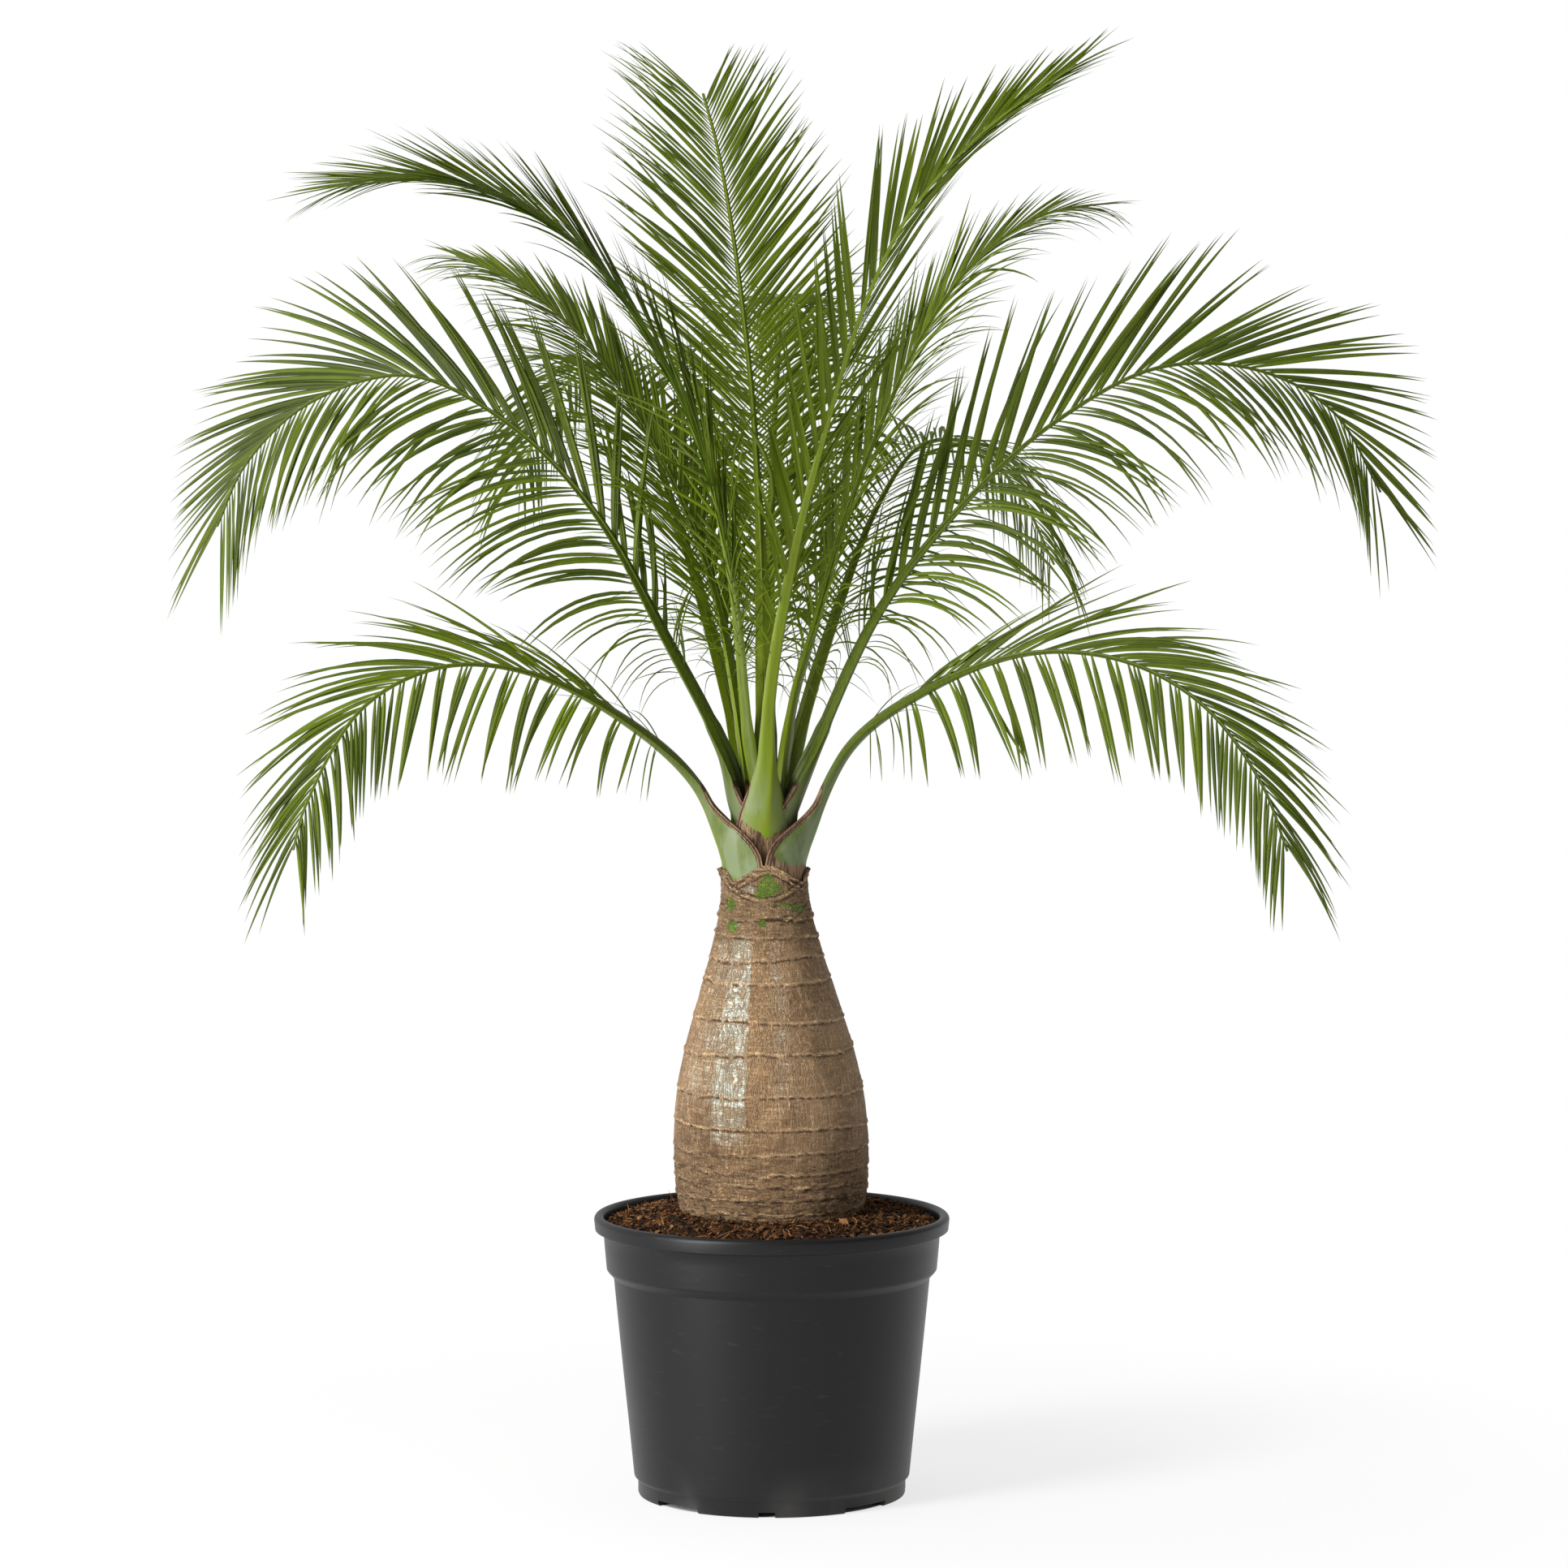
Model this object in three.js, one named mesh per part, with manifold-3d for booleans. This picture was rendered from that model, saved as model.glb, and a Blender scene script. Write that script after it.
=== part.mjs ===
// A young bottle palm in a round nursery container, standing free.
//
// Millimetres, +Z up. The origin is the middle of the container's underside, on the surface that
// it stands on. +X is to the viewer's right and -Y is towards the viewer. The container, the
// potting mix, the trunk and each frond are pieces of their own. Every frond is one grown piece:
// a sheath that stands on the trunk, a petiole, a rachis and two rows of leaflets.

import * as THREE from 'three';
import { mergeVertices } from 'three/addons/utils/BufferGeometryUtils.js';
import Module from 'manifold-3d';

const wasm = await Module();
wasm.setup();

// ---------------------------------------------------------------- driving dimensions

const GAP = 0.3; // between pieces that touch
const ROUND_STEPS = 36; // facets round the container and the potting mix

const POT = {
  rimRadius: 150,
  lipUnderside: 225,
  height: 238,
  lipWidth: 5.5,
  collarTopRadius: 142,
  collarTop: 222,
  collarBottomRadius: 139.6,
  collarBottom: 192.6,
  bodyTopRadius: 133.5,
  bodyTop: 185,
  bodyMiddleRadius: 128.9,
  bodyMiddle: 138,
  bodyBottomRadius: 116.5,
  bodyBottom: 16.6,
  footRadius: 113.2,
  footTop: 13.5,
  footRounding: 2,
  footWidth: 8,
  wall: 2.6,
  floorUnderside: 5,
  floorTop: 8.5,
  centrePadRadius: 22,
};

// The foot is cut by wide notches between its four feet and by narrow ones in their middles.
const NOTCHES = { height: 5, wideAngle: 24, narrowAngle: 7, firstWide: 45, firstNarrow: 88, every: 90 };

const SOIL = {
  edgeBelowRim: 7,
  moundAboveRim: 3,
  crumbHeight: 1.6,
  rows: 4,
};

const TRUNK = {
  plugBottom: 150,
  plugRadius: 58,
  baseRadius: 76.6,
  baseTop: 243,
  top: 529,
  leanAtTop: -6.5,
  steps: 24,
};

// The bottle's outline above the potting mix: [height, radius].
const BOTTLE = [
  [243, 76.9], [259, 80.4], [283, 81.8], [304, 82.1], [332, 80.1], [353, 77.1], [381, 70.6],
  [409, 62.5], [437, 54.1], [451, 49.6], [475, 44], [489, 40.5], [506, 38.1], [529, 37.6],
];

// Ring scars of fallen fronds: [height, how far the ridge stands out].
const SCARS = [
  [249, 0.7], [260, 1.1], [271, 0.8], [283, 1.0], [298, 0.8], [319, 1.1], [348, 1.2], [380, 1.3],
  [407, 1.1], [440, 1.2], [457, 1.0], [476, 1.3], [494, 1.0], [508, 1.6],
];
const SCAR = { below: 2.2, above: 2.6, groove: 0.4, waver: 1.4 };

// Sheaths stand one inside the other on the trunk's top, in rings round the growing point.
const SHEATH = {
  ringRadius: [32.5, 26, 19.5, 13.2, 6.8],
  wall: 5,
  closedAt: [48, 56, 66, 76, 86],
  upright: [12, 24, 36, 48, 60],
  end: 132,
};
const PETIOLE = { radius: 9, endRadius: 7.2, hollow: 1.2, halfAngle: 80 };
const RACHIS = { from: 118, radius: 4.4, tipRadius: 1.8, ridge: 0.7, edgeSide: 0.9, edgeDrop: 0.4 };

// Leaflets: fewer than on the living plant and a little wider, with the same reach.
const LEAFLET = {
  firstAt: 0.21,
  clearOfStalk: 142,
  lastAt: 0.975,
  pairs: 20,
  width: 10,
  rootWidth: 4,
  rootShare: 0.4,
  keel: 1.5,
  stations: 3,
  baseShare: 0.45,
  tipShare: 0.55,
  rootAngle: 60,
  tipAngle: 30,
  clear: 3.7,
  clearOfOwn: 1.6,
};

// Each frond: its ring on the trunk, the side of the trunk that its sheath wraps and how far,
// the route of its rachis from the sheath to the tip, the turn of its blade about the rachis,
// how steeply its leaflets rise from it, how much they droop, the longest leaflet, and how much
// wider than usual its leaflets open towards the tip.
const FRONDS = [
  {
    ring: 0, side: 190, wrap: 78, roll: 32, rise: 22, droop: 1.9, leaflet: 170,
    route: [[-62, -10, 601], [-135, -43, 666], [-210, -71, 701], [-275, -96, 704],
      [-335, -122, 672], [-380, -156, 592], [-388, -166, 560]],
  },
  {
    ring: 0, side: 350, wrap: 78, roll: -32, rise: 22, droop: 1.9, leaflet: 175,
    route: [[63, -10, 630], [134, -40, 685], [215, -72, 715], [290, -100, 710],
      [352, -129, 676], [398, -158, 614], [418, -177, 560]],
  },
  {
    ring: 2, side: 175, wrap: 70, roll: 32, rise: 28, droop: 1.1, leaflet: 185,
    route: [[-39, 4, 627], [-91, 12, 726], [-149, 22, 828], [-218, 31, 900], [-305, 40, 943],
      [-390, 50, 920], [-445, 57, 868], [-470, 61, 815]],
  },
  {
    ring: 2, side: 5, wrap: 70, roll: -32, rise: 28, droop: 1.1, leaflet: 190,
    route: [[36, 2, 638], [94, 6, 751], [169, 10, 844], [240, 13, 906], [325, 16, 950],
      [410, 20, 947], [472, 22, 912], [512, 26, 845]],
  },
  {
    ring: 4, side: 190, wrap: 60, roll: -12, rise: 30, droop: 0.9, leaflet: 165,
    route: [[-21, -4, 650], [-34, -15, 776], [-62, -25, 892], [-107, -33, 982],
      [-164, -41, 1054], [-250, -50, 1100], [-330, -56, 1099], [-372, -61, 1074]],
  },
  {
    ring: 3, side: 20, wrap: 48, roll: 10, rise: 30, droop: 0.9, leaflet: 160,
    route: [[18, 6, 671], [38, 16, 740], [62, 31, 822], [88, 47, 891], [125, 66, 972],
      [170, 84, 1036], [235, 105, 1084], [310, 122, 1096]],
  },
  {
    ring: 1, side: 272, wrap: 58, roll: 0, rise: 25, droop: 0.8, leaflet: 160,
    route: [[-3, -29, 590], [-1, -34, 673], [18, -48, 790], [42, -71, 889], [77, -103, 1003],
      [114, -131, 1078], [170, -164, 1142], [250, -204, 1199]],
  },
  {
    ring: 4, side: 80, wrap: 60, roll: 0, rise: 12, droop: 0.35, leaflet: 155, open: 8,
    route: [[-7, 14, 650], [-10, 50, 800], [-16, 86, 912], [-24, 114, 990], [-35, 146, 1072],
      [-48, 176, 1142], [-60, 199, 1186]],
  },
  {
    ring: 3, side: 150, wrap: 48, roll: -8, rise: 30, droop: 0.9, leaflet: 140,
    route: [[-30, 14, 671], [-48, 34, 760], [-78, 62, 840], [-118, 92, 912], [-160, 124, 975],
      [-225, 165, 1026], [-290, 200, 1050]],
  },
  {
    ring: 1, side: 50, wrap: 34, roll: 0, rise: 30, droop: 1.2, leaflet: 140,
    route: [[34, 50, 640], [62, 92, 745], [92, 138, 832], [128, 188, 880], [172, 244, 882],
      [216, 296, 842], [252, 338, 772]],
  },
  {
    ring: 1, side: 132, wrap: 34, roll: 0, rise: 30, droop: 1.2, leaflet: 140,
    route: [[-42, 50, 640], [-66, 98, 750], [-92, 152, 850], [-122, 214, 926], [-160, 286, 950],
      [-200, 352, 912], [-232, 400, 838]],
  },
  {
    ring: 3, side: 85, wrap: 20, roll: 0, rise: 30, droop: 0.7, leaflet: 130,
    route: [[-4, 30, 640], [-3, 66, 745], [0, 112, 850], [4, 168, 938], [8, 236, 998],
      [12, 312, 1008], [16, 376, 970]],
  },
];

// ---------------------------------------------------------------- materials

const blackPlastic = new THREE.MeshStandardMaterial({ color: 0x2d2d2f, roughness: 0.55, metalness: 0 });
const pottingMix = new THREE.MeshStandardMaterial({ color: 0x3c2317, roughness: 0.95, metalness: 0 });
const bark = new THREE.MeshStandardMaterial({ color: 0xa68c6e, roughness: 0.85, metalness: 0 });
const leaf = new THREE.MeshStandardMaterial({ color: 0x5a7434, roughness: 0.5, metalness: 0 });

// ---------------------------------------------------------------- helpers

const degrees = THREE.MathUtils.degToRad;
const mix = THREE.MathUtils.lerp;
const UP = new THREE.Vector3(0, 0, 1);

/** A repeatable stream of numbers from 0 to 1. */
function seededNumbers(seed) {
  let state = seed;
  return () => {
    state = (Math.imul(state, 1664525) + 1013904223) >>> 0;
    return state / 4294967296;
  };
}

/** A solid for joining and cutting, from a closed geometry. */
function toSolid(geometry) {
  const bare = geometry.clone();
  bare.deleteAttribute('normal');
  bare.deleteAttribute('uv');
  const merged = mergeVertices(bare, 1e-4);
  return new wasm.Manifold(new wasm.Mesh({
    numProp: 3,
    vertProperties: new Float32Array(merged.attributes.position.array),
    triVerts: new Uint32Array(merged.index.array),
  }));
}

/** The geometry of a solid's largest piece; loose scraps of a join are dropped. */
function toGeometry(solid) {
  const largest = solid.decompose().reduce((a, b) => (b.volume() > a.volume() ? b : a));
  const mesh = largest.getMesh();
  const geometry = new THREE.BufferGeometry();
  geometry.setAttribute('position', new THREE.BufferAttribute(mesh.vertProperties, 3));
  geometry.setIndex(new THREE.BufferAttribute(mesh.triVerts, 1));
  geometry.computeVertexNormals();
  return geometry;
}

/** Turns a lathe's geometry from +Y up to +Z up. */
function latheUpright(profile, steps) {
  const points = profile.map(([radius, height]) => new THREE.Vector2(radius, height));
  return new THREE.LatheGeometry(points, steps).rotateX(Math.PI / 2);
}

/** Moves every vertex of a geometry to place(vertex). */
function reshape(geometry, place) {
  const position = geometry.attributes.position;
  const vertex = new THREE.Vector3();
  for (let i = 0; i < position.count; i += 1) {
    vertex.fromBufferAttribute(position, i);
    const moved = place(vertex);
    position.setXYZ(i, moved.x, moved.y, moved.z);
  }
  return geometry;
}

function piece(name, geometry, material) {
  const mesh = new THREE.Mesh(geometry, material);
  mesh.name = name;
  return mesh;
}

// ---------------------------------------------------------------- container

/** The inside of the container's wall, from the floor to the rim: [radius, height]. */
function potInside(clearance) {
  const inset = POT.wall + clearance;
  return [
    [POT.bodyBottomRadius - inset - 2, POT.floorTop + clearance],
    [POT.bodyBottomRadius - inset, POT.bodyBottom],
    [POT.bodyMiddleRadius - inset, POT.bodyMiddle],
    [POT.bodyTopRadius - inset, POT.bodyTop],
    [POT.collarBottomRadius - inset, POT.collarBottom],
    [POT.collarTopRadius - inset, POT.collarTop],
  ];
}

function potGeometry() {
  const lip = POT.rimRadius - POT.lipWidth;
  const outline = [
    [0, 0],
    [POT.centrePadRadius, 0],
    [POT.centrePadRadius + 1, POT.floorUnderside],
    [POT.footRadius - POT.footWidth, POT.floorUnderside],
    [POT.footRadius - POT.footWidth + 1, 0],
    [POT.footRadius - POT.footRounding, 0],
    [POT.footRadius, POT.footRounding],
    [POT.footRadius, POT.footTop],
    [POT.bodyBottomRadius, POT.bodyBottom],
    [POT.bodyMiddleRadius, POT.bodyMiddle],
    [POT.bodyTopRadius, POT.bodyTop],
    [POT.collarBottomRadius, POT.collarBottom],
    [POT.collarTopRadius, POT.collarTop],
    [POT.rimRadius - 1.2, POT.lipUnderside],
    [POT.rimRadius, POT.lipUnderside + 1.5],
    [POT.rimRadius, POT.height - 4],
    [POT.rimRadius - 1.4, POT.height - 1],
    [POT.rimRadius - 3, POT.height],
    [lip, POT.height - 1.5],
    ...potInside(0).reverse(),
    [0, POT.floorTop],
  ];
  let solid = toSolid(latheUpright(outline, ROUND_STEPS));
  for (const [angle, first] of [
    [NOTCHES.wideAngle, NOTCHES.firstWide], [NOTCHES.narrowAngle, NOTCHES.firstNarrow],
  ]) {
    for (let turn = first; turn < first + 360; turn += NOTCHES.every) {
      const width = 2 * POT.footRadius * Math.sin(degrees(angle / 2));
      const notch = new THREE.BoxGeometry(3 * POT.footWidth, width, 2 * NOTCHES.height - 0.4);
      notch.translate(POT.footRadius, 0, 0);
      notch.rotateZ(degrees(turn));
      solid = solid.subtract(toSolid(notch));
    }
  }
  return toGeometry(solid);
}

// ---------------------------------------------------------------- potting mix

/** Low crumbs and hollows of the potting mix at a place on its surface. */
function crumbs(x, y) {
  return Math.sin(x * 0.21 + 1) * Math.cos(y * 0.17) + 0.6 * Math.sin(x * 0.09 - y * 0.13 + 2);
}

function soilGeometry() {
  const edge = potInside(GAP);
  const edgeHeight = POT.height - SOIL.edgeBelowRim;
  const moundHeight = POT.height + SOIL.moundAboveRim;
  const [wallRadius] = edge[edge.length - 1];
  const holeRadius = TRUNK.baseRadius + GAP;
  const outline = [[0, POT.floorTop + GAP], ...edge, [wallRadius, edgeHeight - 1.5]];
  for (let row = 0; row <= SOIL.rows; row += 1) {
    const share = row / SOIL.rows;
    const rise = Math.sin(share * Math.PI / 2);
    outline.push([mix(wallRadius - 1.5, holeRadius, share), mix(edgeHeight, moundHeight, rise)]);
  }
  outline.push([holeRadius, TRUNK.baseTop - 30]);
  outline.push([TRUNK.plugRadius + GAP, TRUNK.plugBottom - GAP]);
  outline.push([0, TRUNK.plugBottom - GAP]);
  const geometry = latheUpright(outline, ROUND_STEPS);
  return toGeometry(toSolid(reshape(geometry, (vertex) => {
    const radius = Math.hypot(vertex.x, vertex.y);
    const inner = (radius - holeRadius) / (wallRadius - holeRadius);
    if (vertex.z > edgeHeight - 1 && inner > 0.02 && inner < 0.98) {
      vertex.z += SOIL.crumbHeight * crumbs(vertex.x, vertex.y);
    }
    return vertex;
  })));
}

// ---------------------------------------------------------------- trunk

/** The bottle's radius at a height. */
function bottleRadius(height) {
  const curve = BOTTLE.findIndex(([z]) => z >= height);
  if (curve <= 0) {
    return curve === 0 ? BOTTLE[0][1] : BOTTLE[BOTTLE.length - 1][1];
  }
  const [lowZ, lowRadius] = BOTTLE[curve - 1];
  const [highZ, highRadius] = BOTTLE[curve];
  return mix(lowRadius, highRadius, (height - lowZ) / (highZ - lowZ));
}

/** How far the trunk's middle has moved sideways at a height. */
function trunkLean(height) {
  const share = Math.max(0, (height - TRUNK.baseTop) / (TRUNK.top - TRUNK.baseTop));
  return TRUNK.leanAtTop * share ** 1.5;
}

/** The trunk's rows from bottom to top: height, radius and how much of the scars' waver. */
function trunkRows() {
  const rows = [
    { z: TRUNK.plugBottom, radius: TRUNK.plugRadius, waver: 0 },
    { z: TRUNK.baseTop - 30, radius: TRUNK.baseRadius - 0.6, waver: 0 },
    { z: TRUNK.baseTop - 2, radius: TRUNK.baseRadius - 0.2, waver: 0 },
  ];
  for (const [height, ridge] of SCARS) {
    const low = height - SCAR.below;
    const high = height + SCAR.above;
    rows.push({ z: low, radius: bottleRadius(low) - SCAR.groove, waver: 1 });
    rows.push({ z: height, radius: bottleRadius(height) + ridge, waver: 1 });
    rows.push({ z: high, radius: bottleRadius(high) - SCAR.groove / 2, waver: 1 });
  }
  rows.push({ z: TRUNK.top - 8, radius: bottleRadius(TRUNK.top) + 0.4, waver: 0.4 });
  rows.push({ z: TRUNK.top, radius: bottleRadius(TRUNK.top) - 0.8, waver: 0 });
  return rows;
}

function trunkGeometry() {
  const rows = trunkRows();
  const outline = [
    [0, TRUNK.plugBottom], ...rows.map((row) => [row.radius, row.z]), [0, TRUNK.top],
  ];
  const wavers = new Map(rows.map((row, index) => [row.z.toFixed(3), { ...row, index }]));
  const geometry = latheUpright(outline, TRUNK.steps);
  return toGeometry(toSolid(reshape(geometry, (vertex) => {
    const row = wavers.get(vertex.z.toFixed(3));
    const turn = Math.atan2(vertex.y, vertex.x);
    const scar = Math.floor((row ? row.index : 0) / 3);
    const waver = row ? row.waver * SCAR.waver : 0;
    vertex.x += trunkLean(vertex.z);
    vertex.z += waver * (Math.sin(turn + scar * 2.1) + 0.5 * Math.sin(3 * turn + scar));
    return vertex;
  })));
}

// ---------------------------------------------------------------- fronds

/** A frond's route with the direction, side and upper side of its blade at any share of it. */
class Rachis {
  constructor(frond) {
    const ringRadius = SHEATH.ringRadius[frond.ring];
    const side = degrees(frond.side);
    const outward = new THREE.Vector3(Math.cos(side), Math.sin(side), 0);
    this.root = outward.clone().multiplyScalar(ringRadius);
    this.root.x += TRUNK.leanAtTop;
    this.root.z = TRUNK.top + GAP;
    const upright = this.root.clone().addScaledVector(UP, SHEATH.upright[frond.ring]);
    const route = frond.route.map(([x, y, z]) => new THREE.Vector3(x, y, z));
    this.curve = new THREE.CatmullRomCurve3([this.root, upright, ...route]);
    this.curve.arcLengthDivisions = 400;
    this.length = this.curve.getLength();
    this.roll = degrees(frond.roll);
    this.sheathSide = new THREE.Vector3(-outward.y, outward.x, 0);
    const tip = route[route.length - 1];
    const away = new THREE.Vector3(tip.x - TRUNK.leanAtTop, tip.y, 0).normalize();
    this.bladeSide = new THREE.Vector3(-away.y, away.x, 0);
  }

  /** The place on the route and the three directions there. */
  at(share) {
    const place = this.curve.getPointAt(Math.min(share, 1));
    const along = this.curve.getTangentAt(Math.min(share, 1));
    const blade = THREE.MathUtils.smoothstep(share * this.length, 0, SHEATH.end);
    const across = this.sheathSide.clone().lerp(this.bladeSide, blade);
    across.addScaledVector(along, -across.dot(along)).normalize();
    const upper = across.clone().cross(along).multiplyScalar(-1);
    if (share === 0) {
      along.copy(UP);
      across.copy(this.sheathSide);
      upper.copy(across).cross(along).multiplyScalar(-1);
    }
    const turn = this.roll * blade;
    across.applyAxisAngle(along, -turn);
    upper.applyAxisAngle(along, -turn);
    return { place, along, across, upper };
  }
}

/** Sheath and petiole: a wall that wraps the trunk's top and closes up into a channelled stalk. */
function sheathGeometry(rachis, frond, clearance = 0) {
  const across = 4;
  const along = 6;
  const ringRadius = SHEATH.ringRadius[frond.ring];
  return reshape(new THREE.BoxGeometry(1, 1, 1, across, along, 1), (vertex) => {
    const distance = (vertex.y + 0.5) * SHEATH.end;
    const closedAt = SHEATH.closedAt[frond.ring];
    const closing = THREE.MathUtils.smoothstep(distance, 4, closedAt);
    const thinning = Math.max(0, (distance - closedAt) / (SHEATH.end - closedAt));
    const stalk = mix(PETIOLE.radius, PETIOLE.endRadius, thinning);
    const outer = mix(ringRadius + SHEATH.wall / 2, stalk, closing);
    const inner = mix(Math.max(ringRadius - SHEATH.wall / 2, 1), PETIOLE.hollow, closing);
    const halfAngle = degrees(mix(frond.wrap, PETIOLE.halfAngle, closing));
    const middle = mix(ringRadius, stalk / 2, closing);
    const reach = vertex.z > 0 ? outer + clearance : Math.max(inner - clearance, 0.3);
    const turn = vertex.x * 2 * (halfAngle + clearance / reach);
    const { place, across: side, upper } = rachis.at(distance / rachis.length);
    return place.clone()
      .addScaledVector(upper, middle - reach * Math.cos(turn))
      .addScaledVector(side, reach * Math.sin(turn));
  });
}

/** A leaflet's breadth at a share of its length: broadest at a third, and pointed. */
function leafletBreadth(reach) {
  const root = LEAFLET.rootWidth / LEAFLET.width;
  return reach < 0.33 ? mix(root, 1, reach / 0.33) : (1 - reach) * (0.97 + 1.57 * reach);
}

/** A leaflet's middle line with the width and the direction of its blade at each station. */
function leafletLine(rachis, share, hand, shape) {
  const { place, along, across, upper } = rachis.at(share);
  const outward = across.clone().multiplyScalar(hand * Math.cos(shape.rise))
    .addScaledVector(upper, Math.sin(shape.rise));
  const heading = along.clone().multiplyScalar(Math.cos(shape.angle))
    .addScaledVector(outward, Math.sin(shape.angle)).normalize();
  const breadth = along.clone().multiplyScalar(hand);
  const point = place.clone();
  const stations = [];
  const fine = 4;
  for (let station = 0; station <= LEAFLET.stations; station += 1) {
    const reach = station / LEAFLET.stations;
    breadth.addScaledVector(heading, -breadth.dot(heading)).normalize();
    stations.push({
      point: point.clone(),
      heading: heading.clone(),
      breadth: breadth.clone(),
      half: 0.5 * LEAFLET.width * leafletBreadth(reach),
    });
    for (let step = 0; step < fine; step += 1) {
      const part = 1 / (fine * LEAFLET.stations);
      heading.addScaledVector(UP, -shape.droop * part).normalize();
      point.addScaledVector(heading, shape.length * part);
    }
  }
  return stations;
}

/**
 * The rachis with its leaflets, as one closed skin. The rachis has three faces: two that the
 * leaflets grow from and one below. Each pair of leaflets takes the place of one triangle of
 * each upper face, so blade and rachis are one body.
 */
class LeafyRachis {
  constructor(rachis) {
    this.rachis = rachis;
    this.points = [];
    this.faces = [];
    this.last = this.ring(RACHIS.from / rachis.length, RACHIS.radius);
    this.faces.push([this.last.left, this.last.right, this.last.ridge]);
  }

  vertex(point) {
    this.points.push(point);
    return this.points.length - 1;
  }

  /** Three corners round the rachis: the ridge on its upper side and the two lower edges. */
  ring(share, radius) {
    const { place, across, upper } = this.rachis.at(share);
    const corner = (side, rise) => this.vertex(place.clone()
      .addScaledVector(across, side * radius).addScaledVector(upper, rise * radius));
    return {
      ridge: corner(0, RACHIS.ridge),
      left: corner(RACHIS.edgeSide, -RACHIS.edgeDrop),
      right: corner(-RACHIS.edgeSide, -RACHIS.edgeDrop),
    };
  }

  /** Faces between two rings; a blade grows from one triangle of each upper face it is given. */
  stretch(next, leftBlade, rightBlade) {
    const { ridge, left, right } = this.last;
    this.faces.push([right, left, next.left], [right, next.left, next.right]);
    this.faces.push([left, ridge, next.left], [ridge, right, next.right]);
    this.blade({ near: ridge, far: next.ridge, keel: next.left }, 1, leftBlade);
    this.blade({ near: ridge, far: next.ridge, keel: next.right }, -1, rightBlade);
    this.last = next;
  }

  /** Two triangles across four corners, split so that the skin bulges and stays thick. */
  bulge(a, b, c, d) {
    const [from, second, third, fourth] = [a, b, c, d].map((corner) => this.points[corner]);
    const normal = second.clone().sub(from).cross(third.clone().sub(from));
    if (normal.dot(fourth.clone().sub(from)) <= 0) {
      this.faces.push([a, b, c], [a, c, d]);
    } else {
      this.faces.push([a, b, d], [b, c, d]);
    }
  }

  /** Skin of a blade from its root triangle to its tip, or the bare triangle where none grows. */
  blade(root, hand, stations) {
    const order = ({ near, far, keel }) => (hand > 0 ? [keel, near, far] : [near, keel, far]);
    let rim = order(root);
    if (!stations) {
      this.faces.push(rim);
      return;
    }
    const around = [[0, 1], [1, 2], [2, 0]];
    for (const { point, heading, breadth, half } of stations.slice(1, -1)) {
      const face = heading.clone().cross(breadth);
      const next = order({
        near: this.vertex(point.clone().addScaledVector(breadth, -hand * half)),
        far: this.vertex(point.clone().addScaledVector(breadth, hand * half)),
        keel: this.vertex(point.clone().addScaledVector(face, LEAFLET.keel)),
      });
      for (const [i, j] of around) {
        this.bulge(rim[i], rim[j], next[j], next[i]);
      }
      rim = next;
    }
    const tip = this.vertex(stations[stations.length - 1].point);
    for (const [i, j] of around) {
      this.faces.push([rim[i], rim[j], tip]);
    }
  }

  /** Adds a pair of leaflets at a share of the rachis; either may be missing. */
  pair(share, angle, leftBlade, rightBlade) {
    const half = LEAFLET.rootWidth / Math.sin(angle) / 2 / this.rachis.length;
    const radius = mix(RACHIS.radius, RACHIS.tipRadius, share);
    this.stretch(this.ring(share - half, radius));
    this.stretch(this.ring(share + half, radius), leftBlade, rightBlade);
  }

  /** Closes the tip and gives the geometry. */
  finish() {
    const { ridge, left, right } = this.last;
    const tip = this.vertex(this.rachis.at(1).place);
    this.faces.push([left, ridge, tip], [ridge, right, tip], [right, left, tip]);
    const geometry = new THREE.BufferGeometry().setFromPoints(this.points);
    geometry.setIndex(this.faces.flat());
    return geometry;
  }
}

// ---------------------------------------------------------------- keeping fronds clear

/** The shortest distance between two straight lines with ends. */
function lineDistance(a, b, c, d) {
  const first = b.clone().sub(a);
  const second = d.clone().sub(c);
  const between = a.clone().sub(c);
  const aa = first.dot(first);
  const bb = second.dot(second);
  const ab = first.dot(second);
  const ac = first.dot(between);
  const bc = second.dot(between);
  const clamp = THREE.MathUtils.clamp;
  const even = aa * bb - ab * ab;
  let s = even > 1e-9 ? clamp((ab * bc - ac * bb) / even, 0, 1) : 0;
  const t = clamp((ab * s + bc) / bb, 0, 1);
  s = clamp((ab * t - ac) / aa, 0, 1);
  return between.addScaledVector(first, s).addScaledVector(second, -t).length();
}

/** What is already there: lines with a thickness, each owned by one frond. */
class Occupied {
  constructor() {
    this.lines = [];
  }

  add(owner, a, b, radius, isRoot) {
    const middle = a.clone().add(b).multiplyScalar(0.5);
    this.lines.push({ owner, a, b, radius, isRoot, middle, reach: a.distanceTo(b) / 2 });
  }

  /** Whether a line comes too near to a frond; its own root may touch its own rachis. */
  blocks(owner, a, b, isRoot) {
    const middle = a.clone().add(b).multiplyScalar(0.5);
    const reach = a.distanceTo(b) / 2;
    return this.lines.some((line) => {
      const own = line.owner === owner;
      if (own && (isRoot || line.isRoot)) {
        return false;
      }
      const clear = own
        ? LEAFLET.clearOfOwn + line.radius / 2
        : LEAFLET.clear + line.radius;
      return middle.distanceTo(line.middle) < reach + line.reach + clear
        && lineDistance(a, b, line.a, line.b) < clear;
    });
  }
}

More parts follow.
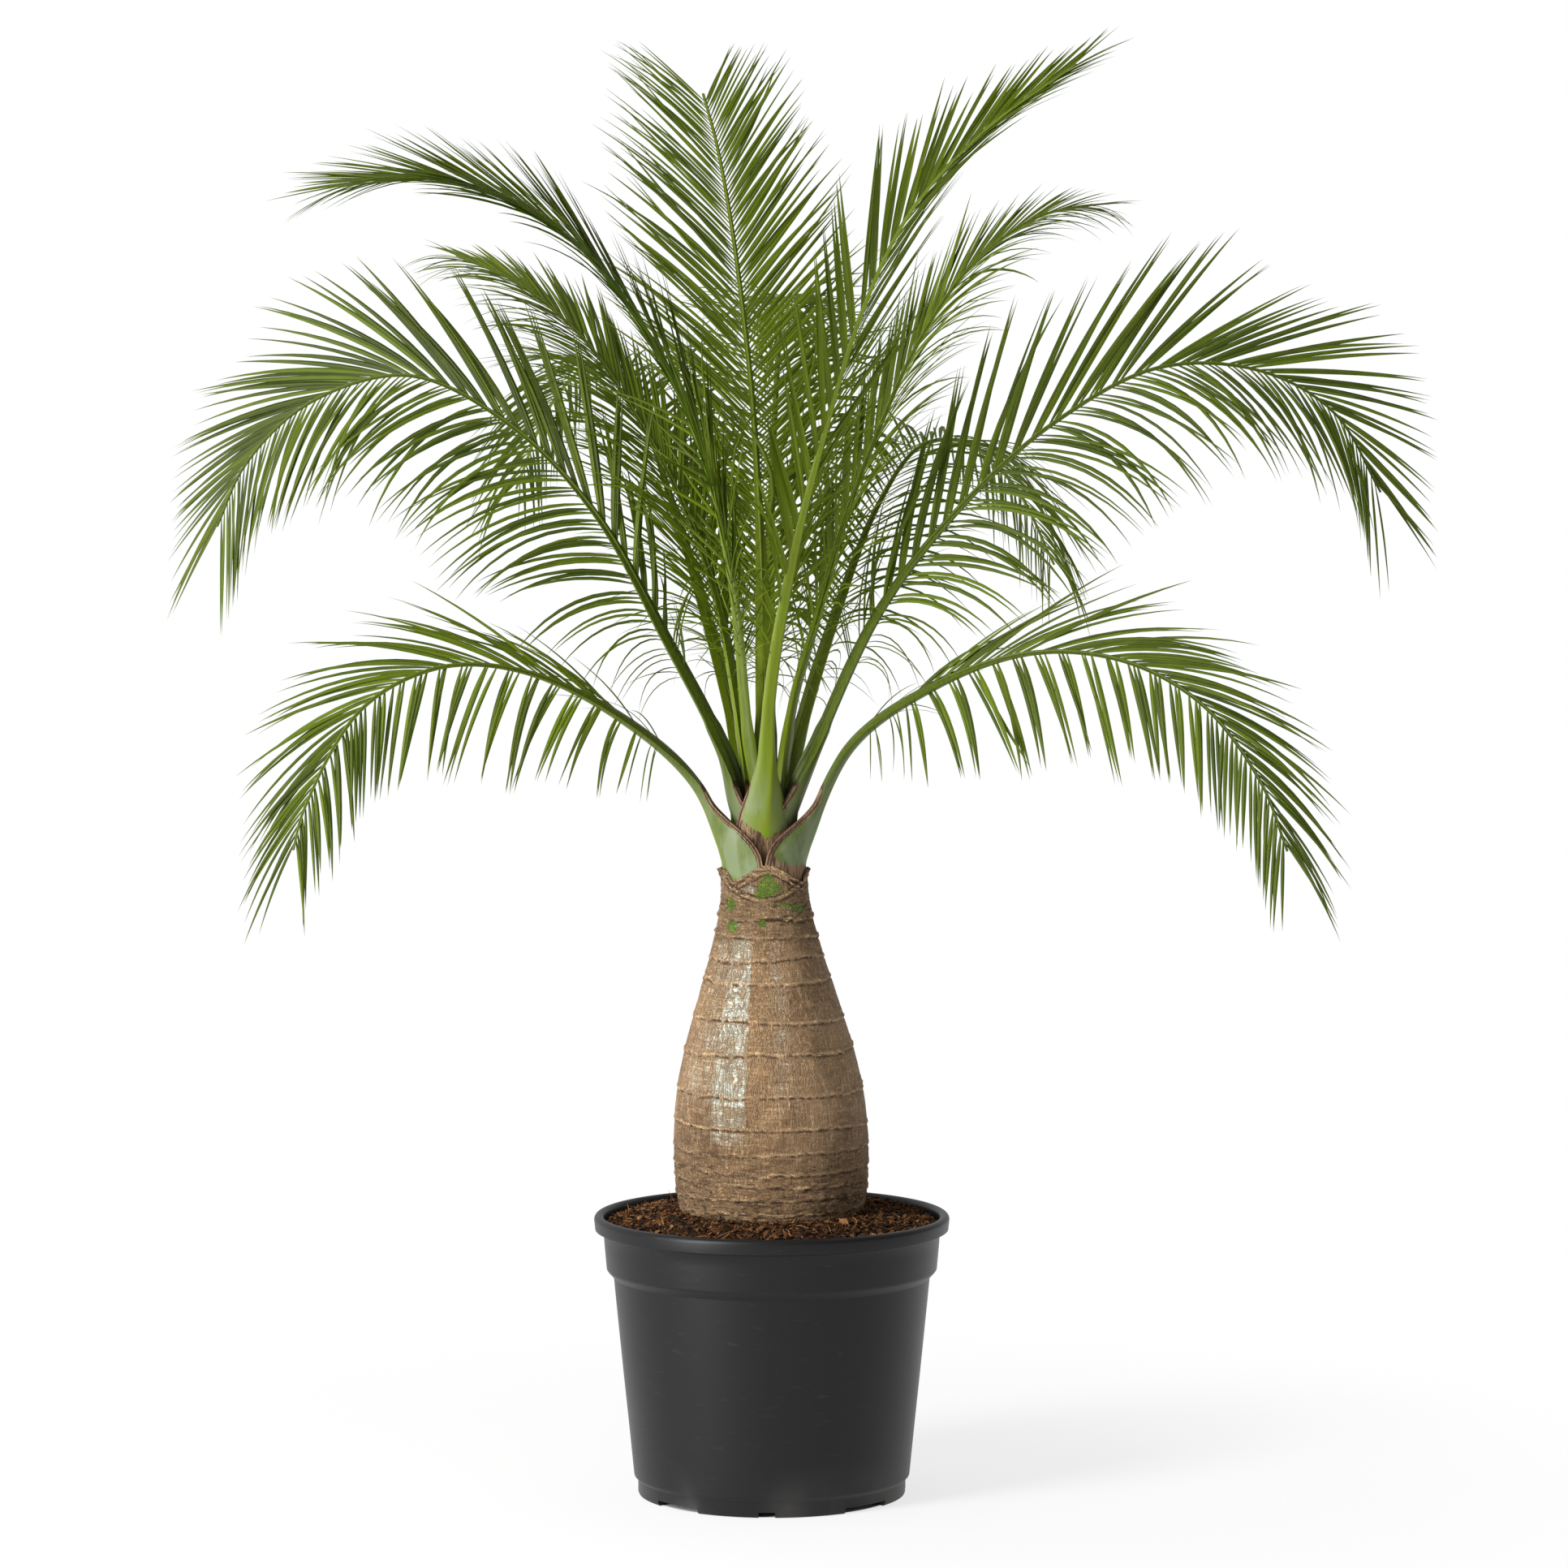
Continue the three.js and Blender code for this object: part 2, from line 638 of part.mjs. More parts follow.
/** The middle line and both edges of a leaflet, as short straight lines, its root apart. */
function leafletEdges(stations) {
  const edges = [];
  for (let i = 1; i < stations.length; i += 1) {
    for (const hand of [-1, 0, 1]) {
      const [from, to] = [stations[i - 1], stations[i]].map((station) => station.point.clone()
        .addScaledVector(station.breadth, hand * station.half));
      if (i > 1) {
        edges.push({ from, to, isRoot: false });
      } else {
        const rootEnd = from.clone().lerp(to, LEAFLET.rootShare);
        edges.push({ from, to: rootEnd, isRoot: true }, { from: rootEnd, to, isRoot: false });
      }
    }
  }
  return edges;
}

// ---------------------------------------------------------------- assembly

/** How long a leaflet is at a share of the leafy stretch, against the longest. */
function leafletShare(along) {
  return along < 0.35
    ? mix(LEAFLET.baseShare, 1, Math.sin((along / 0.35) * Math.PI / 2))
    : mix(1, LEAFLET.tipShare, ((along - 0.35) / 0.65) ** 1.8);
}

/** Tries a leaflet as it wants to grow, then bent a little more each time, then shorter. */
function clearLeaflet(owner, rachis, share, hand, shape, occupied) {
  for (const shorten of [1, 0.85, 0.7, 0.55, 0.4, 0.28]) {
    for (const bend of [0, 5, -5, 10, -10, 16, -16, 22, -22, 30, -30]) {
      for (const swing of [0, 6, -6, 12, -12]) {
        const line = leafletLine(rachis, share, hand, {
          angle: shape.angle + degrees(swing),
          rise: shape.rise + degrees(bend),
          droop: shape.droop,
          length: shape.length * shorten,
        });
        const edges = leafletEdges(line);
        if (!edges.some(({ from, to, isRoot }) => occupied.blocks(owner, from, to, isRoot))) {
          edges.forEach(({ from, to, isRoot }) => occupied.add(owner, from, to, 0, isRoot));
          return line;
        }
      }
    }
  }
  return null;
}

/** The leafy rachis of one frond, with each leaflet bent or shortened until it is clear. */
function leafyRachis(owner, rachis, frond, occupied) {
  const next = seededNumbers(owner * 7919 + 17);
  const skin = new LeafyRachis(rachis);
  const first = Math.max(LEAFLET.firstAt, LEAFLET.clearOfStalk / rachis.length);
  for (let pair = 0; pair < LEAFLET.pairs; pair += 1) {
    const along = pair / (LEAFLET.pairs - 1);
    const share = mix(first, LEAFLET.lastAt, along);
    const angle = mix(LEAFLET.rootAngle, LEAFLET.tipAngle, along) + (frond.open ?? 0) * along;
    const [leftBlade, rightBlade] = [1, -1].map((hand) => {
      const shape = {
        angle: degrees(angle + 8 * (next() - 0.5)),
        rise: degrees(frond.rise + 12 * (next() - 0.5)),
        droop: frond.droop * (0.8 + 0.4 * next()),
        length: frond.leaflet * leafletShare(along) * (0.93 + 0.14 * next()),
      };
      return clearLeaflet(owner, rachis, share, hand, shape, occupied);
    });
    skin.pair(share, degrees(angle), leftBlade, rightBlade);
  }
  return skin.finish();
}

/** Marks the room that the stalks take, so that no leaflet of another frond grows into it. */
function markStalks(stalks, occupied) {
  const steps = 40;
  stalks.forEach((rachis, owner) => {
    for (let step = 0; step < steps; step += 1) {
      const distance = (step / steps) * rachis.length;
      const radius = distance < SHEATH.end ? PETIOLE.radius : RACHIS.radius;
      const from = rachis.at(step / steps).place;
      const to = rachis.at((step + 1) / steps).place;
      occupied.add(owner, from, to, radius, false);
    }
  });
}

function makeFronds() {
  const occupied = new Occupied();
  const stalks = FRONDS.map((frond) => new Rachis(frond));
  markStalks(stalks, occupied);
  const sheaths = [];
  return FRONDS.map((frond, owner) => {
    const rachis = stalks[owner];
    let sheath = toSolid(sheathGeometry(rachis, frond));
    for (const neighbour of sheaths) {
      sheath = sheath.subtract(neighbour);
    }
    sheaths.push(toSolid(sheathGeometry(rachis, frond, GAP)));
    const solid = sheath.add(toSolid(leafyRachis(owner, rachis, frond, occupied)));
    return piece(`frond_${String(owner + 1).padStart(2, '0')}`, toGeometry(solid), leaf);
  });
}

const palm = new THREE.Group();
palm.add(piece('pot', potGeometry(), blackPlastic));
palm.add(piece('soil', soilGeometry(), pottingMix));
palm.add(piece('trunk', trunkGeometry(), bark));
palm.add(...makeFronds());

export default palm;
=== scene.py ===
"""A young bottle palm in a round black nursery container, dressed for Blender 4.5.

The origin is the middle of the container's underside, +Z is up and -Y is towards the viewer. Each
sub-assembly is a class that holds its sizes in millimetres, and its meshes are made in metres.
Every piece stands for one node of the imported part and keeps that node's place and reach.
"""

import logging
import math
from collections.abc import Callable, Iterator, Sequence
from contextlib import contextmanager
from dataclasses import dataclass
from enum import Enum

import bpy
import numpy as np
from bpy.types import Material, NodeOutputs, NodeSocket, Object
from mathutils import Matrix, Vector, noise


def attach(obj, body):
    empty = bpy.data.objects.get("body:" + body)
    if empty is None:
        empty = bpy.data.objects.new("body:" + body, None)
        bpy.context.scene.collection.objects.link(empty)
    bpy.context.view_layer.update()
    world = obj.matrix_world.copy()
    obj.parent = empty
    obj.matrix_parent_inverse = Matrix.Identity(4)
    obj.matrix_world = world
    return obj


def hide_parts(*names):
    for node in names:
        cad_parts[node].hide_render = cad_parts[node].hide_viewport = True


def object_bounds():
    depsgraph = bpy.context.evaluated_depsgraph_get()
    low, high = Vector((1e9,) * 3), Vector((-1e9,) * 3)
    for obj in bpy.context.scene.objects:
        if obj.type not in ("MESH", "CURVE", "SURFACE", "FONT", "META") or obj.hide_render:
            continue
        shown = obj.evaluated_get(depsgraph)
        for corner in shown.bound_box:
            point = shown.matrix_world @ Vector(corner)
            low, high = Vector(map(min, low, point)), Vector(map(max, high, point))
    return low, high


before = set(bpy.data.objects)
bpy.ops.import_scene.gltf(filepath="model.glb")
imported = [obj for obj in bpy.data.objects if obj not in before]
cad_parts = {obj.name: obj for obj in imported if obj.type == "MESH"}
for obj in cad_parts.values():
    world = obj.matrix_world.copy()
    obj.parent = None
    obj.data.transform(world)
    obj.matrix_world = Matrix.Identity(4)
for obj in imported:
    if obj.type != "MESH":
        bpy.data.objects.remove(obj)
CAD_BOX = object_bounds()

LOG = logging.getLogger("palm")

MM = 0.001
STEPS = 24  # steps of the curve that each leaflet or fibre grows along
ORIGIN = (0, 0, 0)
DOWN = np.array([0.0, 0.0, -1.0])

Array = np.ndarray
Random = np.random.Generator
Facts = dict[str, Array]  # what a finish reads from the mesh, by attribute name
Colour = Place = tuple[float, float, float]
Pairs = tuple[tuple[float, float], ...]
Spots = tuple[tuple[float, float, float, float], ...]


# ---- numbers


def ease(value: Array | float, low: float, high: float) -> Array | float:
    """Rises smoothly from 0 at low to 1 at high."""
    share = np.clip((value - low) / (high - low), 0.0, 1.0)
    return share * share * (3 - 2 * share)


def between(a: Array | float, b: Array | float, share: Array | float) -> Array | float:
    """The value at a share of the way from a to b."""
    return a + (b - a) * share


def hump(value: Array, middle: float, width: float) -> Array:
    """Rises smoothly to 1 at the middle and falls again."""
    return np.exp(-(((value - middle) / width) ** 2))


def unit(vectors: Array) -> Array:
    """The vectors at length 1."""
    return vectors / np.maximum(np.linalg.norm(vectors, axis=-1, keepdims=True), 1e-9)


def squared(vectors: Array, axes: Array) -> Array:
    """The vectors made square to unit axes, at length 1."""
    return unit(vectors - axes * np.sum(vectors * axes, axis=1, keepdims=True))


def turned_about(vectors: Array, axes: Array, angles: Array) -> Array:
    """Turns vectors about unit axes.

    Args:
        vectors: The vectors, one to a row.
        axes: The unit axis of each row.
        angles: The turn of each row, in radians.

    Returns:
        The turned vectors.
    """
    c, s = np.cos(angles)[..., None], np.sin(angles)[..., None]
    dot = np.sum(vectors * axes, axis=-1, keepdims=True)
    return vectors * c + np.cross(axes, vectors) * s + axes * dot * (1 - c)


def rough(points: Array, across: float, up: float, octaves: int = 2) -> Array:
    """Smooth noise from about -1 to 1 at each point.

    Args:
        points: Places in millimetres, one to a row.
        across: How many noise cells go into a millimetre along X and Y.
        up: How many go into one along Z.
        octaves: How many finer layers are added.

    Returns:
        One value for each point.
    """
    spread = points * np.array((across, across, up))
    return np.array([noise.fractal(Vector(p), 1.0, 2.0, octaves) for p in spread])


# ---- modelling


def start(add: Callable[..., object], **settings: object) -> Object:
    """Adds a plain shape with one of Blender's own tools.

    Args:
        add: The tool.
        settings: What the tool is told.

    Returns:
        The shape.
    """
    bpy.ops.object.select_all(action="DESELECT")
    add(**settings)
    return bpy.context.object


def take(*objects: Object) -> None:
    """Selects these objects alone and makes the first one active.

    Args:
        objects: The objects.
    """
    bpy.ops.object.select_all(action="DESELECT")
    for obj in objects:
        obj.select_set(True)
    bpy.context.view_layer.objects.active = objects[0]


@contextmanager
def editing(obj: Object) -> Iterator[None]:
    """Holds the object in edit mode, with all of it selected at first.

    Args:
        obj: The object.
    """
    take(obj)
    bpy.ops.object.mode_set(mode="EDIT")
    bpy.ops.mesh.select_all(action="SELECT")
    yield
    bpy.ops.object.mode_set(mode="OBJECT")


def select_where(obj: Object, wanted: Callable[[Vector], bool]) -> None:
    """Selects the vertices whose place is wanted; the object stays in edit mode.

    Args:
        obj: The object.
        wanted: Says whether a place is wanted.
    """
    bpy.ops.mesh.select_all(action="DESELECT")
    bpy.ops.object.mode_set(mode="OBJECT")
    for vertex in obj.data.vertices:
        vertex.select = wanted(vertex.co)
    bpy.ops.object.mode_set(mode="EDIT")


def stretch(x: float, y: float, z: float) -> None:
    """Scales the selection about the origin."""
    bpy.ops.transform.resize(value=(x, y, z), center_override=ORIGIN)


def extrude(x: float, z: float) -> None:
    """Draws the selection out by a step along X and Z, in metres."""
    bpy.ops.mesh.extrude_region_move(TRANSFORM_OT_translate={"value": (x, 0, z)})


def face_out() -> None:
    """Turns all normals outward."""
    bpy.ops.mesh.select_all(action="SELECT")
    bpy.ops.mesh.normals_make_consistent(inside=False)


def note(obj: Object, facts: Facts) -> None:
    """Keeps numbers for each vertex, for the finish to read.

    Args:
        obj: The object.
        facts: One number for each vertex.
    """
    for name, values in facts.items():
        kept = obj.data.attributes.new(name, "FLOAT", "POINT")
        kept.data.foreach_set("value", np.asarray(values, np.float32).ravel())


def places_of(obj: Object) -> Array:
    """The object's vertices in millimetres, one to a row.

    Args:
        obj: The object.

    Returns:
        The places.
    """
    flat = np.zeros(3 * len(obj.data.vertices))
    obj.data.vertices.foreach_get("co", flat)
    return flat.reshape(-1, 3) / MM


def move_to(obj: Object, places: Array) -> None:
    """Moves the object's vertices to these places, in millimetres."""
    obj.data.vertices.foreach_set("co", (places * MM).ravel())
    obj.data.update()


def turned(name: str, profile: Sequence[tuple[float, float]], steps: int) -> Object:
    """Turns a profile round the upright axis, as on a lathe.

    Args:
        name: The piece's name.
        profile: Radius and height of each corner, in millimetres.
        steps: How many steps go round.

    Returns:
        The closed piece.
    """
    obj = start(bpy.ops.mesh.primitive_plane_add, size=MM)
    obj.name = name
    with editing(obj):
        bpy.ops.mesh.merge(type="CENTER")
        bpy.ops.transform.translate(value=(profile[0][0] * MM, 0, profile[0][1] * MM))
        for (r0, z0), (r1, z1) in zip(profile, profile[1:]):
            extrude((r1 - r0) * MM, (z1 - z0) * MM)
        bpy.ops.mesh.select_all(action="SELECT")
        bpy.ops.mesh.spin(steps=steps, angle=math.tau, center=ORIGIN, axis=(0, 0, 1))
        bpy.ops.mesh.select_all(action="SELECT")
        bpy.ops.mesh.remove_doubles(threshold=0.01 * MM)
        face_out()
    return obj


def rolled(name: str, rings: Array, facts: Facts) -> Object:
    """Rolls a grid into a closed tube through rings of points.

    Args:
        name: The piece's name.
        rings: Points in millimetres: station, place round the ring, X Y Z.
        facts: One number for each point.

    Returns:
        The piece, closed round and filled across its first ring.
    """
    stations, around = rings.shape[:2]
    obj = start(bpy.ops.mesh.primitive_grid_add, x_subdivisions=around, y_subdivisions=stations - 1)
    obj.name = name
    grids = (rings, *facts.values())
    closed, *noted = (np.concatenate([grid, grid[:, :1]], axis=1) for grid in grids)
    obj.data.vertices.foreach_set("co", (closed * MM).ravel())
    note(obj, dict(zip(facts, noted)))
    root = {tuple(round(c, 6) for c in p) for p in closed[0] * MM}
    with editing(obj):
        bpy.ops.mesh.remove_doubles(threshold=0.002 * MM)
        select_where(obj, lambda co: tuple(round(c, 6) for c in co) in root)
        bpy.ops.mesh.edge_face_add()
        face_out()
    return obj


def joined(*objects: Object) -> Object:
    """Joins the objects into the first one.

    Args:
        objects: The objects.

    Returns:
        The first one.
    """
    take(*objects)
    bpy.ops.object.join()
    return objects[0]


def finished(obj: Object, node: str, crease: float) -> None:
    """Shades the piece and puts it on the part.

    Args:
        obj: The piece, with its place in its mesh.
        node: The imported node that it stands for.
        crease: The angle in degrees past which an edge stays sharp.
    """
    take(obj)
    bpy.ops.object.shade_smooth_by_angle(angle=math.radians(crease))
    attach(obj, "root")
    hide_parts(node)
    LOG.info("%s: %d faces", obj.name, len(obj.data.polygons))


@dataclass(frozen=True)
class Pattern:
    """A small shape that is modelled once: 1 wide across X, 1 long up Z, and copied many times."""

    corners: Array
    faces: list[tuple[int, ...]]
    uv: Array

    @classmethod
    def of(cls, obj: Object) -> "Pattern":
        """Takes the pattern from a modelled object and clears the object away.

        Args:
            obj: The object.

        Returns:
            The pattern.
        """
        corners = places_of(obj) * MM
        faces = [tuple(face.vertices) for face in obj.data.polygons]
        order = np.concatenate(faces)
        uv = np.stack([corners[order, 0] + 0.5, corners[order, 2]], axis=1)
        bpy.data.objects.remove(obj)
        return cls(corners, faces, uv)

    @classmethod
    def drawn_out(cls, sides: int, thick: float, fold: float, rings: Pairs) -> "Pattern":
        """Draws a small section out into a tapering blade or strand.

        Args:
            sides: Corners of the section: 4 for a folded blade, 3 for a strand.
            thick: Thickness against width.
            fold: How far the two edges hang below the middle, against width.
            rings: Step up the length and width there, from root to the last ring before the tip.

        Returns:
            The pattern, closed at its root and at its tip.
        """
        obj = start(bpy.ops.mesh.primitive_circle_add, vertices=sides, radius=0.5, fill_type="NGON")
        with editing(obj):
            stretch(1, thick, 1)
            select_where(obj, lambda co: abs(co.x) > 0.3)
            bpy.ops.transform.translate(value=(0, -fold, 0))
            bpy.ops.mesh.select_all(action="SELECT")
            stretch(rings[0][1], rings[0][1], 1)
            for (low, was), (high, now) in zip(rings, rings[1:]):
                extrude(0, (high - low) / STEPS)
                stretch(now / was, now / was, 1)
            extrude(0, (STEPS - rings[-1][0]) / STEPS)
            bpy.ops.mesh.merge(type="CENTER")
            face_out()
        return cls.of(obj)

    def copied(self, name: str, corners: Array, facts: Facts) -> Object:
        """Copies the pattern many times into one mesh.

        Args:
            name: The piece's name.
            corners: Every copy's corners in millimetres: copy, corner, X Y Z.
            facts: One number for each copy.

        Returns:
            The piece.
        """
        count, size = corners.shape[:2]
        faces = [tuple(k * size + i for i in face) for k in range(count) for face in self.faces]
        mesh = bpy.data.meshes.new(name)
        mesh.from_pydata((corners.reshape(-1, 3) * MM).tolist(), [], faces)
        layer = mesh.uv_layers.new(name="grown")
        layer.data.foreach_set("uv", np.tile(self.uv, (count, 1)).ravel())
        obj = bpy.data.objects.new(name, mesh)
        bpy.context.scene.collection.objects.link(obj)
        note(obj, {key: np.repeat(value, size) for key, value in facts.items()})
        return obj


@dataclass
class Shoots:
    """Many copies of one pattern, each growing from its own place along its own curve."""

    place: Array
    heading: Array
    breadth: Array
    aim: Array
    length: Array
    width: Array
    droop: Array
    sweep: Array
    twist: Array

    def grown(self, pattern: Pattern) -> Array:
        """Grows the pattern along every curve.

        Args:
            pattern: The shape, whose rings lie on the curve's steps.

        Returns:
            The corners of every copy in millimetres: copy, corner, X Y Z.
        """
        point, heading, breadth = self.place, unit(self.heading), self.breadth
        pull = (DOWN * self.droop[:, None] + self.aim * self.sweep[:, None]) / STEPS
        stations = []
        for step in range(STEPS + 1):
            breadth = squared(breadth, heading)
            across = turned_about(breadth, heading, self.twist * step / STEPS)
            stations.append((point, across, np.cross(heading, across)))
            heading = unit(heading + pull)
            point = point + heading * (self.length / STEPS)[:, None]
        points, across, face = (np.stack(part, axis=1) for part in zip(*stations))
        ring = np.rint(pattern.corners[:, 2] * STEPS).astype(int)
        wide = self.width[:, None, None] * pattern.corners[None, :, :2]
        return points[:, ring] + across[:, ring] * wide[..., :1] + face[:, ring] * wide[..., 1:]


# ---- finishes


def maths(operation: str, swapped: bool = False) -> Callable[..., "Reading"]:
    """Makes an operator of Reading.

    Args:
        operation: The Math node's operation.
        swapped: Whether the other term comes first.

    Returns:
        The method.
    """

    def reckoned(this: "Reading", *others: "Reading | float") -> "Reading":
        """Adds the Math node on this socket and the other terms."""
        terms = (*others, this) if swapped else (this, *others)
        made = this.recipe.node("Math", {"operation": operation}, dict(enumerate(terms)))
        return Reading(this.recipe, made[0])

    return reckoned


class Reading:
    """A shader socket that can be reckoned with: each sum adds its own Math node."""

    def __init__(self, recipe: "Recipe", socket: NodeSocket) -> None:
        """Wraps a socket of a recipe."""
        self.recipe, self.socket = recipe, socket

    __add__ = __radd__ = maths("ADD")
    __sub__, __rsub__ = maths("SUBTRACT"), maths("SUBTRACT", swapped=True)
    __mul__ = __rmul__ = maths("MULTIPLY")
    __abs__ = maths("ABSOLUTE")
    waved = maths("SINE")
    most = maths("MAXIMUM")

    def lined(self, width: float) -> "Reading":
        """Thin lines where noise passes its middle value."""
        return 1 - abs(self - 0.5).eased(0.0, width)

    def eased(self, low: float, high: float) -> "Reading":
        """Rises smoothly from 0 at low to 1 at high.

        Args:
            low: Where the rise starts.
            high: Where it ends.

        Returns:
            The eased reading.
        """
        settings = {"interpolation_type": "SMOOTHSTEP"}
        made = self.recipe.node("MapRange", settings, {0: self, 1: low, 2: high})
        return Reading(self.recipe, made[0])


class Recipe:
    """The node tree of one finish, or of the room."""

    def __init__(self, name: str, kind: str = "materials") -> None:
        """Starts an empty tree on a new material or world.

        Args:
            name: Its name.
            kind: What it is: materials or worlds.
        """
        self.owner = getattr(bpy.data, kind).new(name)
        self.owner.use_nodes = True
        self.tree = self.owner.node_tree
        self.tree.nodes.clear()
        self.coordinates = self.node("TexCoord")

    def node(
        self, kind: str, settings: dict[str, object] | None = None,
        inputs: dict[str | int, object] | None = None,
    ) -> NodeOutputs:
        """Adds one node.

        Args:
            kind: The node's type, without ShaderNode before it.
            settings: Its properties, set first.
            inputs: The value or link of each socket, by name or number.

        Returns:
            The node's outputs.
        """
        made = self.tree.nodes.new("ShaderNode" + kind)
        for key, value in (settings or {}).items():
            setattr(made, key, value)
        for key, value in (inputs or {}).items():
            value = value.socket if isinstance(value, Reading) else value
            if isinstance(value, NodeSocket):
                self.tree.links.new(value, made.inputs[key])
            else:
                made.inputs[key].default_value = value
        return made.outputs

    def fact(self, name: str) -> Reading:
        """What the piece keeps for each vertex under a name."""
        return Reading(self, self.node("Attribute", {"attribute_name": name})["Fac"])

    def parts(self, socket: NodeSocket) -> list[Reading]:
        """The X, Y and Z of a place."""
        return [Reading(self, part) for part in self.node("SeparateXYZ", {}, {0: socket})]

    def height(self) -> Reading:
        """The height above the floor, in metres."""
        return self.parts(self.coordinates["Object"])[2]

    def grain(self, across: float, up: float, detail: float = 3, distortion: float = 0) -> Reading:
        """Noise from 0 to 1 on the object's place.

        Args:
            across: Cells in a metre along X and Y.
            up: Cells in a metre along Z.
            detail: How many finer layers are added.
            distortion: How much the noise is pushed about.

        Returns:
            The noise.
        """
        scale = {"Vector": self.coordinates["Object"], "Scale": (across, across, up)}
        place = self.node("Mapping", {}, scale)[0]
        inputs = {"Vector": place, "Scale": 1.0, "Detail": detail, "Distortion": distortion}
        return Reading(self, self.node("TexNoise", {}, inputs)["Fac"])

    def mixed(self, first: object, second: object, amount: Reading) -> NodeSocket:
        """The colour that is an amount of the way from the first to the second.

        Args:
            first: A colour or a socket.
            second: The other one.
            amount: The share of the second.

        Returns:
            The mixed colour's socket.
        """
        inputs = {0: amount}
        for key, colour in ((6, first), (7, second)):
            inputs[key] = (*colour, 1.0) if isinstance(colour, tuple) else colour
        return self.node("Mix", {"data_type": "RGBA"}, inputs)[2]

    def bumped(self, height: Reading, strength: float, distance: float) -> NodeSocket:
        """The surface normal that a height gives; distance is in metres."""
        inputs = {"Height": height, "Strength": strength, "Distance": distance}
        return self.node("Bump", {}, inputs)[0]

    def surfaced(
        self, colour: NodeSocket, roughness: Reading | float, gloss: float, normal: NodeSocket,
        glow: Colour | None = None, share: float = 0,
    ) -> Material:
        """Finishes the tree.

        Args:
            colour: The surface's colour.
            roughness: Its roughness.
            gloss: The strength of its highlights.
            normal: Its normal.
            glow: The colour of light that comes through from behind, if any does.
            share: How much of the surface lets it through.

        Returns:
            The material.
        """
        shader = self.node("BsdfPrincipled", {}, {
            "Base Color": colour, "Roughness": roughness, "Specular IOR Level": gloss,
            "Normal": normal})[0]
        if glow:
            through = self.node("BsdfTranslucent", {}, {0: (*glow, 1.0)})[0]
            shader = self.node("MixShader", {}, {0: share, 1: shader, 2: through})[0]
        self.node("OutputMaterial", {}, {0: shader})
        return self.owner


@dataclass(frozen=True)
class MouldedPlastic:
    """Charcoal plastic with the faint haze of a mould, and dust low down and in faint scuffs."""

    charcoal: Colour = (0.005, 0.005, 0.0056)
    dust: Colour = (0.045, 0.043, 0.04)

    def material(self) -> Material:
        """Makes the material.

        Returns:
            The material.
        """
        recipe = Recipe("moulded_plastic")
        haze, fine = recipe.grain(9, 5, 4), recipe.grain(900, 900, 2)
        scuffs = recipe.grain(60, 300, 4, 0.6).eased(0.62, 0.78)
        low = 1 - recipe.height().eased(0.0, 0.05)
        dusty = (low * haze.eased(0.42, 0.7)).most(scuffs * 0.25)
        colour = recipe.mixed(self.charcoal, self.dust, dusty)
        normal = recipe.bumped(fine + 2.0 * haze, 0.12, 0.0004)
        return recipe.surfaced(colour, 0.36 + 0.12 * haze + 0.12 * dusty, 0.29, normal)


@dataclass(frozen=True)
class PottingCrumbs:
    """Dark brown peat and bark, each crumb with its own shade."""

    dark: Colour = (0.007, 0.003, 0.0012)
    brown: Colour = (0.14, 0.058, 0.019)
    light: Colour = (0.34, 0.18, 0.075)

    def material(self) -> Material:
        """Makes the material.

        Returns:
            The material.
        """
        recipe = Recipe("potting_crumbs")
        shade = recipe.fact("shade")
        fine, coarse = recipe.grain(900, 900), recipe.grain(160, 160)
        soil = recipe.mixed(self.dark, self.brown, (0.55 * shade + 0.6 * coarse).eased(0.25, 0.85))
        soil = recipe.mixed(soil, self.light, shade.eased(0.68, 0.97) * fine.eased(0.3, 0.7))
        return recipe.surfaced(soil, 0.95, 0.2, recipe.bumped(fine + coarse, 0.8, 0.0012))


